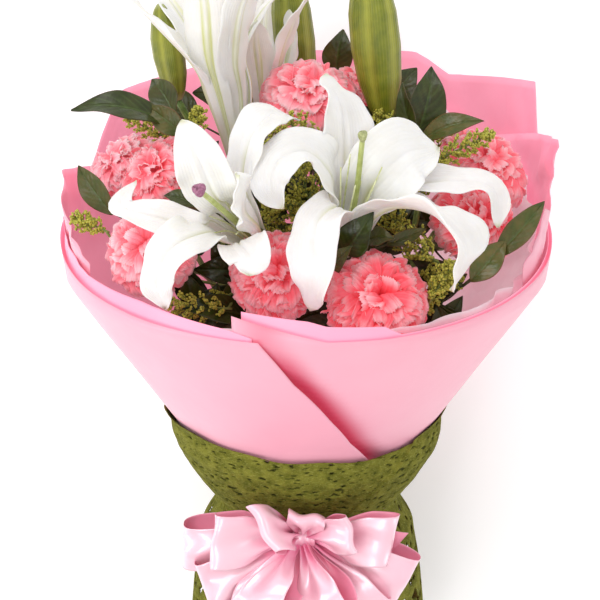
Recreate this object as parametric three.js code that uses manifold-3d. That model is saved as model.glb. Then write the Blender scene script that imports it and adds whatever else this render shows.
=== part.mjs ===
// A tied bouquet of white lilies and pink carnations in a paper wrap, lying on its back.
// Millimetres. The bouquet is first set out upright around its tie: x to the right, y to the
// back, z up along the stems, with the tie at the origin. The last lines lay it down on its wrap.

import * as THREE from "three";
import { mergeVertices } from "three/addons/utils/BufferGeometryUtils.js";
import Module from "manifold-3d";

const wasm = await Module();
wasm.setup();

// ---- Driving dimensions ----------------------------------------------------------------

const clearance = 0.35; // air left where one piece is fitted round another

// paper wrap
const paperThickness = 0.9;
const layerPitch = 2.8; // from one sheet of paper to the next
const waistRadius = 70; // outside of the paper where the bow holds it
const bandTop = 73; // height of the mesh band's upper edge
const bandTopRadius = 111; // outside of the paper at that edge
const rimHeight = 193; // front rim of the wrap
const rimRadius = 195;
const rimRise = 17; // how much higher the front rim is at the sides
const sideFlare = 0.1; // outward slope of the paper above the rim, at the sides
const backFlare = 0.3; // the same at the back
const hemDrop = 165; // from the tie down to the hem of the skirt
const hemRadius = 84;

// the wrap is pressed flat where the bouquet lies: distances from the axis to that plane
const restAtHem = 88;
const restAtRim = 190;

// mesh band and skirt
const meshThickness = 1.8;
const skirtHemRadius = 96;

// ribbon
const ribbonWidth = 37;
const ribbonThickness = 0.9;
const bowReach = 78; // from the knot to the end of the longest loop

// stems
const lilyStalkRadius = 5;
const carnationStemRadius = 2.5;
const twigRadius = 1.8;
const sprayStemRadius = 1.5;
const stemPitch = 10.5; // between neighbouring stems in the tie
const stemFoot = 150; // from the tie down to the cut ends
const stemSplay = 1.6; // how far the cut ends spread, against their places in the tie
const twineRadius = 1.8;

// lilies
const lilyTubeLength = 58; // from the stalk to the mouth of the flower
const lilyThroatRadius = 7; // of the flower's tube, where it leaves the stalk
const lilyMouthRadius = 16;
const sepalOffset = 3.4; // the outer three tepals stand this far outside the inner three
const tepalThickness = 1.6;
const pistilRadius = 2.6;
const budRadius = 19;

// carnations
const carnationRadius = 36;
const carnationDepth = 52;
const calyxRadius = 9;
const calyxLength = 30;

// leaves
const leafThickness = 1.3;
const petioleRadius = 1.3;

// ---- Small helpers ---------------------------------------------------------------------

const { degToRad, smoothstep, lerp, clamp } = THREE.MathUtils;
const vec = (x, y, z) => new THREE.Vector3(x, y, z);
const restSlope = (restAtRim - restAtHem) / (hemDrop + rimHeight);
const tilt = Math.atan(restSlope);

// A closed geometry becomes a solid that can be joined and cut.
function toSolid(geometry) {
  const shell = geometry.clone();
  for (const name of Object.keys(shell.attributes)) {
    if (name !== "position") shell.deleteAttribute(name);
  }
  const merged = mergeVertices(shell, 1e-4);
  const corners = merged.index.array;
  const triangles = [];
  for (let i = 0; i < corners.length; i += 3) {
    const [a, b, c] = [corners[i], corners[i + 1], corners[i + 2]];
    if (a !== b && b !== c && c !== a) triangles.push(a, b, c);
  }
  return new wasm.Manifold(new wasm.Mesh({
    numProp: 3,
    vertProperties: new Float32Array(merged.attributes.position.array),
    triVerts: new Uint32Array(triangles),
  }));
}

const join = (solids) => solids.reduce((whole, solid) => whole.add(solid));

// A thin closed sheet: the grid of a flat box bent onto surface(u, v), with u and v from 0 to 1.
// extra is added to every face and edge, to make the cutter that leaves clearance round it.
function bentSheet(columns, rows, surface, thickness, extra = 0) {
  const geometry = new THREE.BoxGeometry(1, 1, 1, columns, rows, 1);
  const position = geometry.attributes.position;
  const step = 0.004;
  for (let i = 0; i < position.count; i += 1) {
    const u = position.getX(i) + 0.5;
    const v = position.getY(i) + 0.5;
    const side = position.getZ(i);
    const across = surface(Math.min(u + step, 1), v).sub(surface(Math.max(u - step, 0), v));
    const along = surface(u, Math.min(v + step, 1)).sub(surface(u, Math.max(v - step, 0)));
    across.normalize();
    along.normalize();
    const normal = across.clone().cross(along).normalize();
    const point = surface(u, v).addScaledVector(normal, side * (thickness + 2 * extra));
    if (u === 0 || u === 1) point.addScaledVector(across, (2 * u - 1) * extra);
    if (v === 0 || v === 1) point.addScaledVector(along, (2 * v - 1) * extra);
    position.setXYZ(i, point.x, point.y, point.z);
  }
  return toSolid(geometry);
}

// A round rod along a smooth line through the points.
function rod(points, radius, steps, extra = 0) {
  const outline = new THREE.Shape().absarc(0, 0, radius + extra, 0, 2 * Math.PI);
  const path = points.length === 2
    ? new THREE.LineCurve3(...points)
    : new THREE.CatmullRomCurve3(points, false, "centripetal");
  return toSolid(new THREE.ExtrudeGeometry(outline, {
    steps, curveSegments: 3, extrudePath: path, bevelEnabled: false,
  }));
}

// A turned shape standing on start and reaching towards end; profile gives [radius, share of length].
function turned(start, end, profile, sides, extra = 0) {
  const length = start.distanceTo(end);
  const outline = profile.map(([radius, share]) => {
    const grown = radius > 0 ? radius + extra : 0;
    return new THREE.Vector2(grown, share * length + (share < 0.5 ? -extra : extra));
  });
  const geometry = new THREE.LatheGeometry(outline, sides);
  const turn = new THREE.Quaternion()
    .setFromUnitVectors(vec(0, 1, 0), end.clone().sub(start).normalize());
  geometry.applyQuaternion(turn);
  geometry.translate(start.x, start.y, start.z);
  return toSolid(geometry);
}

// Directions round an axis: 0 is the one nearest to straight up, or for an upright axis to the
// front; positive angles turn to the left as seen along the axis from its tip.
function aroundAxis(axis, degrees) {
  const upright = axis.z > 0.9;
  const zero = upright ? vec(0, -1, 0) : vec(0, 0, 1);
  zero.addScaledVector(axis, -zero.dot(axis)).normalize();
  const side = axis.clone().cross(zero);
  const angle = degToRad(degrees);
  return zero.multiplyScalar(Math.cos(angle)).addScaledVector(side, Math.sin(angle));
}

// ---- Colours ---------------------------------------------------------------------------

const finish = (color, roughness) => ({ color, roughness, metalness: 0 });
const finishes = {
  paper: finish("#f2afc8", 0.5),
  tissue: finish("#f7dce6", 0.45),
  mesh: finish("#6b7a35", 0.85),
  ribbon: finish("#fbc3da", 0.3),
  twine: finish("#b39b6b", 0.9),
  lily: finish("#f6f3ee", 0.5),
  pistil: finish("#a9b04a", 0.5),
  bud: finish("#93a338", 0.5),
  stalk: finish("#5f7d2e", 0.6),
  carnation: finish("#f5919f", 0.7),
  leaf: finish("#2f4a16", 0.35),
  spray: finish("#a9ad3c", 0.8),
};

// Every piece is kept as a function of the extra size, so that later pieces can be cut round it.
const pieces = [];
const addPiece = (name, look, shape) => pieces.push({ name, look, shape });

// ---- Paper wrap and tissue -------------------------------------------------------------

// phi turns round the bouquet's axis from the front (0) to the right (90 degrees).
function paperRadius(phi, z) {
  if (z <= 0) return lerp(waistRadius, hemRadius, smoothstep(-z, 0, hemDrop));
  if (z <= bandTop) {
    const share = 1 - (1 - z / bandTop) ** 1.5;
    return lerp(waistRadius, bandTopRadius, share);
  }
  if (z <= rimHeight) {
    return lerp(bandTopRadius, rimRadius, (z - bandTop) / (rimHeight - bandTop));
  }
  const backShare = ((1 - Math.cos(phi)) / 2) ** 2;
  return rimRadius + (z - rimHeight) * lerp(sideFlare, backFlare, backShare);
}

// inset is measured inwards from the outermost face of the wrap to the middle of the sheet
function wrapPoint(degrees, z, inset) {
  const phi = degToRad(degrees);
  const radius = paperRadius(phi, z) - inset;
  const restY = restAtHem + (z + hemDrop) * restSlope - inset / Math.cos(tilt);
  return vec(radius * Math.sin(phi), Math.min(-radius * Math.cos(phi), restY), z);
}

const sheetInset = (layer) => paperThickness / 2 + layer * layerPitch;

// value at x on a line of straight stretches through the given [x, value] corners
function alongCorners(corners, x) {
  const next = clamp(corners.findIndex(([at]) => at > x), 1, corners.length - 1);
  const index = x >= corners.at(-1)[0] ? corners.length - 1 : next;
  const [x0, y0] = corners[index - 1];
  const [x1, y1] = corners[index];
  return lerp(y0, y1, clamp((x - x0) / (x1 - x0), 0, 1));
}

const frontRim = (degrees) => rimHeight + rimRise * (degrees / 70) ** 2;

// from and to are the two upright edges in degrees, as functions of height; top is the rim.
// The rows of the grid pass through the waist, the band's upper edge and the front rim's height.
function addWrapSheet(name, look, inset, columns, from, to, top, rowsAbove, thickness = paperThickness) {
  const lowHeights = [6 - hemDrop, -hemDrop * 0.45, 0, bandTop * 0.3, bandTop,
    lerp(bandTop, rimHeight, 0.33), lerp(bandTop, rimHeight, 0.67)];
  const rows = lowHeights.length - 1 + rowsAbove;
  const heightAt = (v, rim) => {
    const bend = Math.min(rimHeight, rim);
    const high = rowsAbove === 1 ? [rim] : [bend, ...Array.from({ length: rowsAbove - 1 },
      (_, i) => lerp(bend, rim, (i + 1) / (rowsAbove - 1)))];
    return alongCorners([...lowHeights, ...high].map((z, i) => [i / rows, z]), v);
  };
  const surface = (u, v) => {
    let z = rimHeight * v;
    for (let pass = 0; pass < 4; pass += 1) {
      z = heightAt(v, top(lerp(from(z), to(z), u)));
    }
    return wrapPoint(lerp(from(z), to(z), u), z, inset);
  };
  addPiece(name, look, (extra) => bentSheet(columns, rows, surface, thickness, extra));
}

// the back sheet lies on the table; its rim runs from the right-hand corner to the left-hand one
const backRim = [[98, 240], [121, 318], [147, 308], [156, 323], [180, 321], [200, 313], [226, 302], [262, 228]];
addWrapSheet("wrap_back_sheet", "paper", sheetInset(0), 13,
  (z) => alongCorners([[bandTop, 98], [rimHeight, 104], [317, 121]], z),
  (z) => alongCorners([[bandTop, 262], [rimHeight, 256], [302, 226]], z),
  (degrees) => alongCorners(backRim, degrees), 4);

// the two front panels cross: the left one lies on top, with its free edge running down to the right
addWrapSheet("wrap_front_left", "paper", sheetInset(1), 10,
  () => -105,
  (z) => alongCorners([[-hemDrop, 34], [bandTop, 22], [113, 7], [153, -4], [rimHeight, -11]], z),
  frontRim, 2);
addWrapSheet("wrap_front_right", "paper", sheetInset(2), 11,
  (z) => alongCorners([[-hemDrop, -34], [bandTop, -26], [rimHeight, -17]], z),
  () => 105,
  (degrees) => Math.max(frontRim(degrees), alongCorners([[-17, 212], [4, 194]], degrees)), 2);

// side sheets with pointed corners
const leftRim = [[-150, 236], [-118, 252], [-96, 267], [-84, 257], [-62, 222]];
addWrapSheet("wrap_left_sheet", "paper", sheetInset(3), 8,
  () => -150, () => -62, (degrees) => alongCorners(leftRim, degrees), 3);
const rightRim = [[62, 222], [78, 252], [83, 244], [91, 296], [112, 284], [150, 252]];
addWrapSheet("wrap_right_sheet", "paper", sheetInset(4), 9,
  () => 62, () => 150, (degrees) => alongCorners(rightRim, degrees), 3);

// a loose inner lining of tissue
const tissueRim = [[-60, 204], [-10, 196], [30, 198], [62, 206], [100, 240], [121, 266], [133, 250],
  [145, 287], [165, 270]];
addWrapSheet("tissue_lining", "tissue", sheetInset(5) + 1.5, 15,
  () => -60, () => 165, (degrees) => alongCorners(tissueRim, degrees), 3, 0.8);

// ---- Mesh band, mesh skirt, ribbon ---------------------------------------------------------

// A closed ring round the axis. innerAt gives its inner radius at a height; wave(phi, z) pushes it out.
function ringSheet(bottom, top, levels, sides, innerAt, thickness, extra, wave = () => 0) {
  const outline = [];
  const low = bottom - extra;
  const high = top + extra;
  for (let i = 0; i <= levels; i += 1) {
    const z = lerp(low, high, i / levels);
    outline.push(new THREE.Vector2(innerAt(z) + thickness + extra, z));
  }
  for (let i = levels; i >= 0; i -= 1) {
    const z = lerp(low, high, i / levels);
    outline.push(new THREE.Vector2(innerAt(z) - extra, z));
  }
  outline.push(outline[0].clone());
  const geometry = new THREE.LatheGeometry(outline, sides);
  geometry.rotateX(Math.PI / 2);
  const position = geometry.attributes.position;
  for (let i = 0; i < position.count; i += 1) {
    const point = vec(position.getX(i), position.getY(i), position.getZ(i));
    const radius = Math.hypot(point.x, point.y);
    const phi = Math.atan2(point.x, -point.y);
    const pushed = (radius + wave(phi, point.z)) / radius;
    const restY = restAtHem + (point.z + hemDrop) * restSlope;
    const depthIn = innerAt(point.z) + thickness + extra - radius;
    position.setXYZ(i, point.x * pushed,
      Math.min(point.y * pushed, restY - depthIn / Math.cos(tilt)), point.z);
  }
  return toSolid(geometry);
}

const meshInner = (z) => paperRadius(0, z) + 0.6 + paperThickness / 2;
addPiece("mesh_band", "mesh", (extra) => ringSheet(4, bandTop, 3, 32, meshInner, meshThickness, extra));

const skirtInner = (z) => lerp(meshInner(0), skirtHemRadius, smoothstep(-z, 0, hemDrop));
const skirtFolds = 9;
const skirtWave = (phi, z) => {
  const depth = 4 * smoothstep(-z, 20, hemDrop);
  return depth * (Math.cos(skirtFolds * phi) + 1) / 2;
};
addPiece("mesh_skirt", "mesh",
  (extra) => ringSheet(-hemDrop, -1, 4, 36, skirtInner, meshThickness, extra, skirtWave));

// The bow: a ribbon round the waist, a knot, loops that fan out to the front, and two tails.
const ribbonInner = meshInner(0) + meshThickness + clearance;
const ribbonRingHeight = 20;
const knot = vec(-6, -(ribbonInner + 20), -8);
const knotRadius = 15;
// each loop: direction in degrees from the right, counter-clockwise; share of bowReach; lean forward
const bowLoops = [
  [0, 1, 0.15], [44, 0.82, 0.4], [94, 0.64, 0.2], [138, 0.84, 0.45], [180, 1, 0.15], [226, 0.84, 0.4],
  [318, 0.86, 0.4],
];
const bowTails = [[232, 0.98, 0.05], [308, 1.02, 0.05]];

function bowDirection(degrees, lean) {
  const angle = degToRad(degrees);
  return vec(Math.cos(angle), -lean, Math.sin(angle)).normalize();
}

function bowLoop([degrees, share, lean], extra) {
  const out = bowDirection(degrees, lean);
  const across = out.clone().cross(vec(0, -1, 0)).normalize();
  const front = across.clone().cross(out).normalize();
  const reach = share * bowReach;
  const depth = 24 * share;
  const surface = (u, v) => {
    const turn = 2 * Math.PI * lerp(0.02, 0.98, v);
    const width = ribbonWidth * lerp(0.3, 1, smoothstep(1 - Math.cos(turn), 0, 1.2));
    const start = 0.75 * knotRadius;
    return knot.clone()
      .addScaledVector(out, start + (reach - start) * (1 - Math.cos(turn)) / 2)
      .addScaledVector(front, -depth * Math.sin(turn) * (1 - Math.cos(turn)) / 2.6)
      .addScaledVector(across, (u - 0.5) * width);
  };
  return bentSheet(1, 8, surface, ribbonThickness, extra);
}

function bowTail([degrees, share, lean], extra) {
  const out = bowDirection(degrees, lean);
  const across = out.clone().cross(vec(0, -1, 0)).normalize();
  const surface = (u, v) => knot.clone()
    .addScaledVector(out, share * bowReach * v)
    .addScaledVector(across, (u - 0.5) * ribbonWidth * lerp(0.3, 0.8, v));
  return bentSheet(1, 2, surface, ribbonThickness, extra);
}

addPiece("bow", "ribbon", (extra) => {
  const ring = ringSheet(-18, -18 + ribbonRingHeight, 1, 28,
    (z) => Math.max(skirtInner(z), skirtInner(0)) + meshThickness + 2, ribbonThickness, extra);
  const ball = new THREE.IcosahedronGeometry(knotRadius + extra, 1);
  ball.scale(1.1, 1, 0.9);
  ball.translate(knot.x, knot.y, knot.z);
  const strap = bentSheet(1, 3, (u, v) => vec(
    knot.x + (u - 0.5) * 18, lerp(knot.y, -ribbonInner - 0.5, v), knot.z), 12, extra);
  return join([ring, toSolid(ball), strap,
    ...bowLoops.map((loop) => bowLoop(loop, extra)), ...bowTails.map((tail) => bowTail(tail, extra))]);
});

// ---- Lilies ------------------------------------------------------------------------------

// Every open flower: where its mouth is, which way it faces, and how far it is turned.
// Each tepal: width, whether it is an inner petal, and the points it passes after the mouth.
const lilies = {
  lily_a: {
    mouth: vec(-54, -114, 262), axis: vec(-0.25, -0.8, 0.5), roll: 30, pistil: 74,
    tepals: [
      [46, true, [[-68, -130, 286], [-79, -138, 315], [-92, -128, 343]]],
      [30, false, [[-79, -132, 265], [-112, -128, 271], [-139, -110, 276], [-128, -95, 289]]],
      [35, true, [[-75, -146, 264], [-99, -166, 258], [-110, -165, 233], [-104, -152, 208]]],
      [38, false, [[-51, -140, 254], [-42, -163, 250], [-43, -168, 238]]],
      [34, true, [[-47, -138, 278], [-47, -158, 300], [-52, -168, 313]]],
      [38, false, [[-48, -112, 295], [-42, -100, 325], [-26, -85, 338], [-7, -70, 329]]],
    ],
  },
  lily_b: {
    mouth: vec(31, -85, 258), axis: vec(0.15, -0.5, 0.85), roll: 10, pistil: 80,
    tepals: [
      [36, false, [[27, -84, 295], [25, -74, 338], [13, -58, 362]]],
      [42, true, [[16, -104, 296], [-2, -110, 316], [-23, -120, 311], [-28, -126, 293], [-18, -132, 278]]],
      [37, false, [[21, -118, 275], [6, -148, 272], [3, -165, 245], [1, -158, 208]]],
      [56, true, [[61, -118, 275], [94, -145, 276], [113, -156, 254], [104, -154, 222]]],
      [36, false, [[66, -92, 279], [105, -84, 286], [138, -86, 281], [142, -98, 254]]],
      [62, true, [[50, -94, 288], [72, -90, 309], [97, -74, 309]]],
    ],
  },
  lily_c: {
    mouth: vec(-64, 18, 332), axis: vec(-0.16, -0.05, 0.98), roll: -75, pistil: 60,
    tepals: [
      [36, true, [[-86, 2, 352], [-112, -8, 385], [-146, -10, 420]]],
      [34, false, [[-76, -10, 362], [-79, -22, 410], [-84, -34, 452]]],
      [36, true, [[-56, -6, 361], [-50, -15, 405], [-34, -17, 441]]],
      [32, false, [[-50, 26, 361], [-36, 34, 391], [-12, 42, 414]]],
      [36, true, [[-62, 44, 364], [-56, 56, 408], [-50, 72, 440]]],
      [32, false, [[-84, 42, 358], [-107, 56, 394], [-128, 72, 415]]],
    ],
  },
  lily_d: {
    mouth: vec(-37, 75, 317), axis: vec(-0.1, -0.15, 0.98), roll: -60, pistil: 45,
    tepals: [
      [30, true, [[-56, 64, 343], [-66, 54, 370], [-70, 46, 388]]],
      [28, false, [[-39, 50, 345], [-41, 38, 368], [-40, 26, 386]]],
      [30, true, [[-22, 58, 345], [-12, 48, 378], [0, 43, 404]]],
      [28, false, [[-17, 80, 340], [-13, 78, 364], [-15, 72, 386]]],
      [32, true, [[-38, 100, 345], [-36, 117, 375], [-36, 132, 400]]],
      [30, false, [[-60, 90, 338], [-74, 102, 357], [-88, 110, 374]]],
    ],
  },
};

const lilyBase = ({ mouth, axis }) =>
  mouth.clone().addScaledVector(axis.clone().normalize(), -lilyTubeLength);

// width along a tepal, as a share of the widest: narrow claw in the tube, broad blade, pointed tip
function tepalWidth(share, mouthShare) {
  const claw = share < mouthShare
    ? lerp(0.22, 0.52, share / mouthShare)
    : lerp(0.52, 1, smoothstep(share, mouthShare, mouthShare + 0.28));
  const tip = share < 0.62 ? 1 : Math.sqrt(1 - ((share - 0.62) / 0.38) ** 2);
  return Math.max(claw * tip, 0.05);
}

function tepal(lily, index, extra) {
  const axis = lily.axis.clone().normalize();
  const [width, isPetal, points] = lily.tepals[index];
  const out = aroundAxis(axis, lily.roll + 60 * index);
  const base = lilyBase(lily);
  const spread = isPetal ? 0 : sepalOffset;
  const place = (along, radius) => base.clone()
    .addScaledVector(axis, along).addScaledVector(out, radius + spread);
  const path = new THREE.CatmullRomCurve3([
    place(4, lilyThroatRadius), place(lilyTubeLength * 0.5, (lilyThroatRadius + lilyMouthRadius) / 2 - 1),
    place(lilyTubeLength, lilyMouthRadius), ...points.map((point) => vec(...point)),
  ], false, "centripetal");
  const mouthShare = lilyTubeLength / path.getLength();

  // the crosswise direction is carried along the path so that the tepal does not twist
  const stations = 24;
  const crosswise = [axis.clone().cross(out).normalize()];
  for (let i = 1; i <= stations; i += 1) {
    const tangent = path.getTangentAt(i / stations);
    const carried = crosswise[i - 1].clone();
    crosswise.push(carried.addScaledVector(tangent, -carried.dot(tangent)).normalize());
  }
  const surface = (u, v) => {
    const station = Math.min(Math.floor(v * stations), stations - 1);
    const across = crosswise[station].clone().lerp(crosswise[station + 1], v * stations - station);
    const tangent = path.getTangentAt(v);
    const inward = tangent.clone().cross(across);
    // the section is an arc: round the tube at first, then almost flat
    const tubeRadius = spread + lerp(lilyThroatRadius, lilyMouthRadius, Math.min(v / mouthShare, 1));
    const arcRadius = tubeRadius * lerp(1, 3.5, smoothstep(v, mouthShare, mouthShare + 0.3));
    const angle = (2 * u - 1) * width * tepalWidth(v, mouthShare) / 2 / arcRadius;
    return path.getPointAt(v)
      .addScaledVector(across, arcRadius * Math.sin(angle))
      .addScaledVector(inward, arcRadius * (1 - Math.cos(angle)));
  };
  return bentSheet(2, 8, surface, tepalThickness, extra);
}

const tepalKinds = ["petal", "sepal"];
for (const [name, lily] of Object.entries(lilies)) {
  lily.tepals.forEach(([, isPetal], index) => {
    const kind = tepalKinds[isPetal ? 0 : 1];
    addPiece(`${name}_${kind}_${index + 1}`, "lily", (extra) => tepal(lily, index, extra));
  });
}

// pistil: a slightly bent style with its swollen, three-lobed end
for (const [name, lily] of Object.entries(lilies)) {
  const axis = lily.axis.clone().normalize();
  const foot = lilyBase(lily).addScaledVector(axis, 8);
  const tip = lily.mouth.clone().addScaledVector(axis, lily.pistil).add(vec(-4, 0, 3));
  const middle = foot.clone().lerp(tip, 0.5).add(vec(3, 2, -2));
  addPiece(`${name}_pistil`, "pistil", (extra) => {
    const end = new THREE.IcosahedronGeometry(pistilRadius * 2 + extra, 1);
    end.translate(tip.x, tip.y, tip.z);
    return join([rod([foot, middle, tip], pistilRadius, 4, extra), toSolid(end)]);
  });
}

// closed buds: ribbed spindles
const buds = {
  lily_bud_e: { base: vec(-3, 100, 297), tip: vec(-18, 100, 425), radius: budRadius * 0.9 },
  lily_bud_f: { base: vec(62, 40, 301), tip: vec(46, 40, 438), radius: budRadius * 1.05 },
  lily_bud_g: { base: vec(-104, 50, 317), tip: vec(-117, 50, 396), radius: budRadius * 0.68 },
};
for (const [name, { base, tip, radius }] of Object.entries(buds)) {
  const outline = [[0, 0], [0.36, 0.005], [0.62, 0.08], [0.9, 0.25], [1, 0.45], [0.95, 0.65], [0.66, 0.86],
    [0.25, 0.98], [0, 1]];
  const profile = outline.map(([share, height]) => [share * radius, height]);
  addPiece(name, "bud", (extra) => turned(base, tip, profile, 9, extra));
}

// ---- Stems in the tie -------------------------------------------------------------------

// Places in the tie, as in a bundle of rods: one in the middle, six round it, twelve outside.
function tiePlace(ring, degrees) {
  const angle = degToRad(degrees);
  const outerRadius = degrees % 60 === 30 || degrees % 60 === -30
    ? 2 * stemPitch
    : Math.sqrt(3) * stemPitch;
  const radius = [0, stemPitch, outerRadius][ring];
  return vec(radius * Math.sin(angle), -radius * Math.cos(angle), 0);
}

// a stem's line from its cut end, through its place in the tie, to what it carries
const bundleLength = 32; // the stems run side by side this far above and below the tie
function stemLine(place, ...above) {
  return [
    place.clone().multiplyScalar(stemSplay).setZ(-stemFoot),
    place.clone().setZ(-bundleLength),
    place.clone().setZ(bundleLength),
    ...above,
  ];
}

// lily stalks: one main line in the tie and short branches to the flowers and buds
const knobLength = 3;
const stalkTop = (lily) => lilyBase(lily).addScaledVector(lily.axis.clone().normalize(), knobLength - 1);
const budFoot = ({ base, tip }) =>
  base.clone().addScaledVector(tip.clone().sub(base).normalize(), -clearance);
const forkLow = vec(8, -4, 170);
const forkLeft = vec(-32, 32, 195);
const stalks = {
  lily_stalk_left: [stemLine(tiePlace(1, -30), vec(-34, -34, 165), stalkTop(lilies.lily_a))],
  lily_stalk_right: [
    stemLine(tiePlace(1, 90), forkLow, stalkTop(lilies.lily_b)),
    [forkLow, vec(44, 28, 250), budFoot(buds.lily_bud_f)],
  ],
  lily_stalk_back: [
    stemLine(tiePlace(1, -150), forkLeft, stalkTop(lilies.lily_c)),
    [forkLeft, vec(-30, 62, 235), stalkTop(lilies.lily_d)],
    [forkLeft, vec(-12, 80, 245), budFoot(buds.lily_bud_e)],
    [forkLeft, vec(-76, 48, 265), budFoot(buds.lily_bud_g)],
  ],
};
for (const [name, lines] of Object.entries(stalks)) {
  addPiece(name, "stalk", (extra) => join(lines.map((line, index) =>
    rod(line, index === 0 ? lilyStalkRadius : lilyStalkRadius * 0.7, index === 0 ? 9 : 4, extra))));
}

// ---- Carnations ---------------------------------------------------------------------------

// each: centre of the head, the way it faces, its size against the usual, and its place in the tie
const carnations = [
  [[-117, -92, 234], [-0.5, -0.7, 0.5], 1.0, 2, -60],
  [[-114, -24, 272], [-0.65, -0.4, 0.65], 0.94, 1, -90],
  [[-146, 36, 262], [-0.6, -0.2, 0.78], 0.9, 2, -120],
  [[0, 34, 320], [0.05, -0.5, 0.86], 1.04, 1, 150],
  [[47, 99, 308], [0.3, -0.1, 0.95], 0.9, 2, 180],
  [[-24, -113, 220], [-0.05, -0.8, 0.6], 0.95, 2, 0],
  [[50, -132, 206], [0.2, -0.75, 0.62], 1.06, 2, 30],
  [[135, 0, 270], [0.45, -0.4, 0.8], 1.04, 2, 120],
  [[126, -52, 244], [0.5, -0.65, 0.55], 0.96, 2, 90],
];

// the head: a flattened ball, drawn in below towards its calyx
function carnationHead(size, extra) {
  const geometry = new THREE.IcosahedronGeometry(1, 1);
  const position = geometry.attributes.position;
  for (let i = 0; i < position.count; i += 1) {
    const point = vec(position.getX(i), position.getY(i), position.getZ(i)).normalize();
    const drawnIn = point.z < 0 ? 1 - 0.35 * point.z * point.z : 1;
    const wide = carnationRadius * size * drawnIn + extra;
    const deep = carnationDepth * size / 2 + extra;
    position.setXYZ(i, point.x * wide, point.y * wide, point.z * deep);
  }
  return geometry;
}

carnations.forEach(([centre, facing, size, ring, degrees], index) => {
  const middle = vec(...centre);
  const axis = vec(...facing).normalize();
  const headFoot = middle.clone().addScaledVector(axis, -carnationDepth * size / 2);
  const calyxTop = headFoot.clone().addScaledVector(axis, 8);
  const calyxFoot = headFoot.clone().addScaledVector(axis, -calyxLength);
  const place = tiePlace(ring, degrees);
  const bend = calyxFoot.clone().addScaledVector(axis, -24);
  const line = stemLine(place, bend, calyxFoot.clone().addScaledVector(axis, 4));
  addPiece(`carnation_${index + 1}`, "carnation", (extra) => {
    const head = carnationHead(size, extra);
    head.applyQuaternion(new THREE.Quaternion().setFromUnitVectors(vec(0, 0, 1), axis));
    head.translate(...centre);
    const profile = [[0, 0], [3.5, 0], [calyxRadius * 0.75, 0.3], [calyxRadius, 1], [0, 1]];
    return join([
      toSolid(head),
      turned(calyxFoot, calyxTop, profile, 6, extra),
      rod(line, carnationStemRadius, 7, extra),
    ]);
  });
});

// ---- Leaves ---------------------------------------------------------------------------------

// each branch: place in the tie, the points its twig passes, and its leaves as [foot, tip, width,
// the way its upper face looks, how far its middle bows that way, points its stalk passes, if any]
const branches = {
  foliage_left: {
    place: [2, -90],
    twig: [[-52, -22, 175], [-70, -26, 240], [-74, -22, 296]],
    leaves: [
      [[-108, -22, 315], [-179, -45, 333], 27, [0, -0.6, 0.8], 9],
      [[-104, 4, 314], [-124, 25, 340], 24, [-0.2, -1, 0.1], 2],
      [[-96, -28, 308], [-124, -24, 330], 20, [-0.2, -0.9, 0.4], 4],
      [[-150, -50, 250], [-178, -30, 284], 20, [-0.4, -0.7, 0.6], 3, [-112, -47, 232]],
      [[-84, -90, 268], [-108, -86, 276], 14, [0, -0.7, 0.7], 2],
    ],
  },
  foliage_back: {
    place: [2, -150],
    twig: [[-4, 66, 180], [4, 104, 250], [14, 128, 290]],
    leaves: [
      [[24, 138, 316], [30, 140, 356], 26, [0.1, -1, 0.2], 4],
      [[64, 140, 286], [92, 150, 322], 28, [0.1, -0.9, 0.4], 5],
      [[-40, 136, 286], [-70, 152, 322], 28, [0, -0.9, 0.4], 5],
      [[0, 150, 290], [-14, 172, 326], 28, [0, -0.9, 0.5], 4],
      [[-90, 104, 284], [-126, 118, 308], 26, [-0.2, -0.8, 0.5], 4, [-40, 108, 258]],
    ],
  },
  foliage_right: {
    place: [2, 150],
    twig: [[46, 18, 175], [76, 22, 240], [84, 18, 284]],
    leaves: [
      [[84, 26, 287], [99, 42, 346], 32, [0.25, -1, 0.25], 5],
      [[82, 6, 292], [72, 2, 341], 17, [-0.5, -0.9, 0.1], 4],
      [[88, -6, 298], [134, -22, 318], 20, [-0.1, -0.75, 0.65], 6],
      [[140, -92, 228], [178, -74, 268], 20, [-0.2, -0.9, 0.4], 4, [54, -30, 162], [108, -80, 196]],
      [[122, -100, 212], [148, -92, 242], 22, [-0.1, -0.9, 0.4], 3, [54, -34, 162], [100, -80, 190]],
    ],
  },
  foliage_front: {
    place: [1, 30],
    twig: [[6, -58, 158], [8, -80, 204], [16, -92, 222]],
    leaves: [
      [[24, -112, 238], [46, -124, 272], 26, [-0.2, -0.9, 0.3], 5],
      [[14, -122, 226], [30, -136, 250], 16, [-0.3, -0.9, 0.4], 3],
      [[44, -106, 246], [62, -118, 252], 16, [0.1, -0.8, 0.6], 2],
      [[58, -98, 240], [88, -94, 252], 11, [0, -0.9, 0.4], 2],
      [[-46, -98, 184], [-92, -130, 202], 26, [0.1, -0.7, 0.7], 5, [-14, -78, 164]],
    ],
  },
};

const leafOutline = (share) => Math.max(Math.sin(Math.PI * Math.min(share * 0.97 + 0.015, 1) ** 0.85), 0.06);

function leafBlade([foot, tip, width, facing, bow], extra) {
  const start = vec(...foot);
  const end = vec(...tip);
  const along = end.clone().sub(start).normalize();
  const up = vec(...facing);
  up.addScaledVector(along, -up.dot(along)).normalize();
  const across = along.clone().cross(up);
  const surface = (u, v) => {
    const side = 2 * u - 1;
    const half = width * leafOutline(v) / 2;
    return start.clone().lerp(end, v)
      .addScaledVector(across, side * half)
      .addScaledVector(up, bow * 4 * v * (1 - v) + 0.22 * half * Math.abs(side));
  };
  return bentSheet(2, 4, surface, leafThickness, extra);
}

const nearest = (points, target) => points.reduce((best, point) =>
  (point.distanceTo(target) < best.distanceTo(target) ? point : best));

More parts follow.
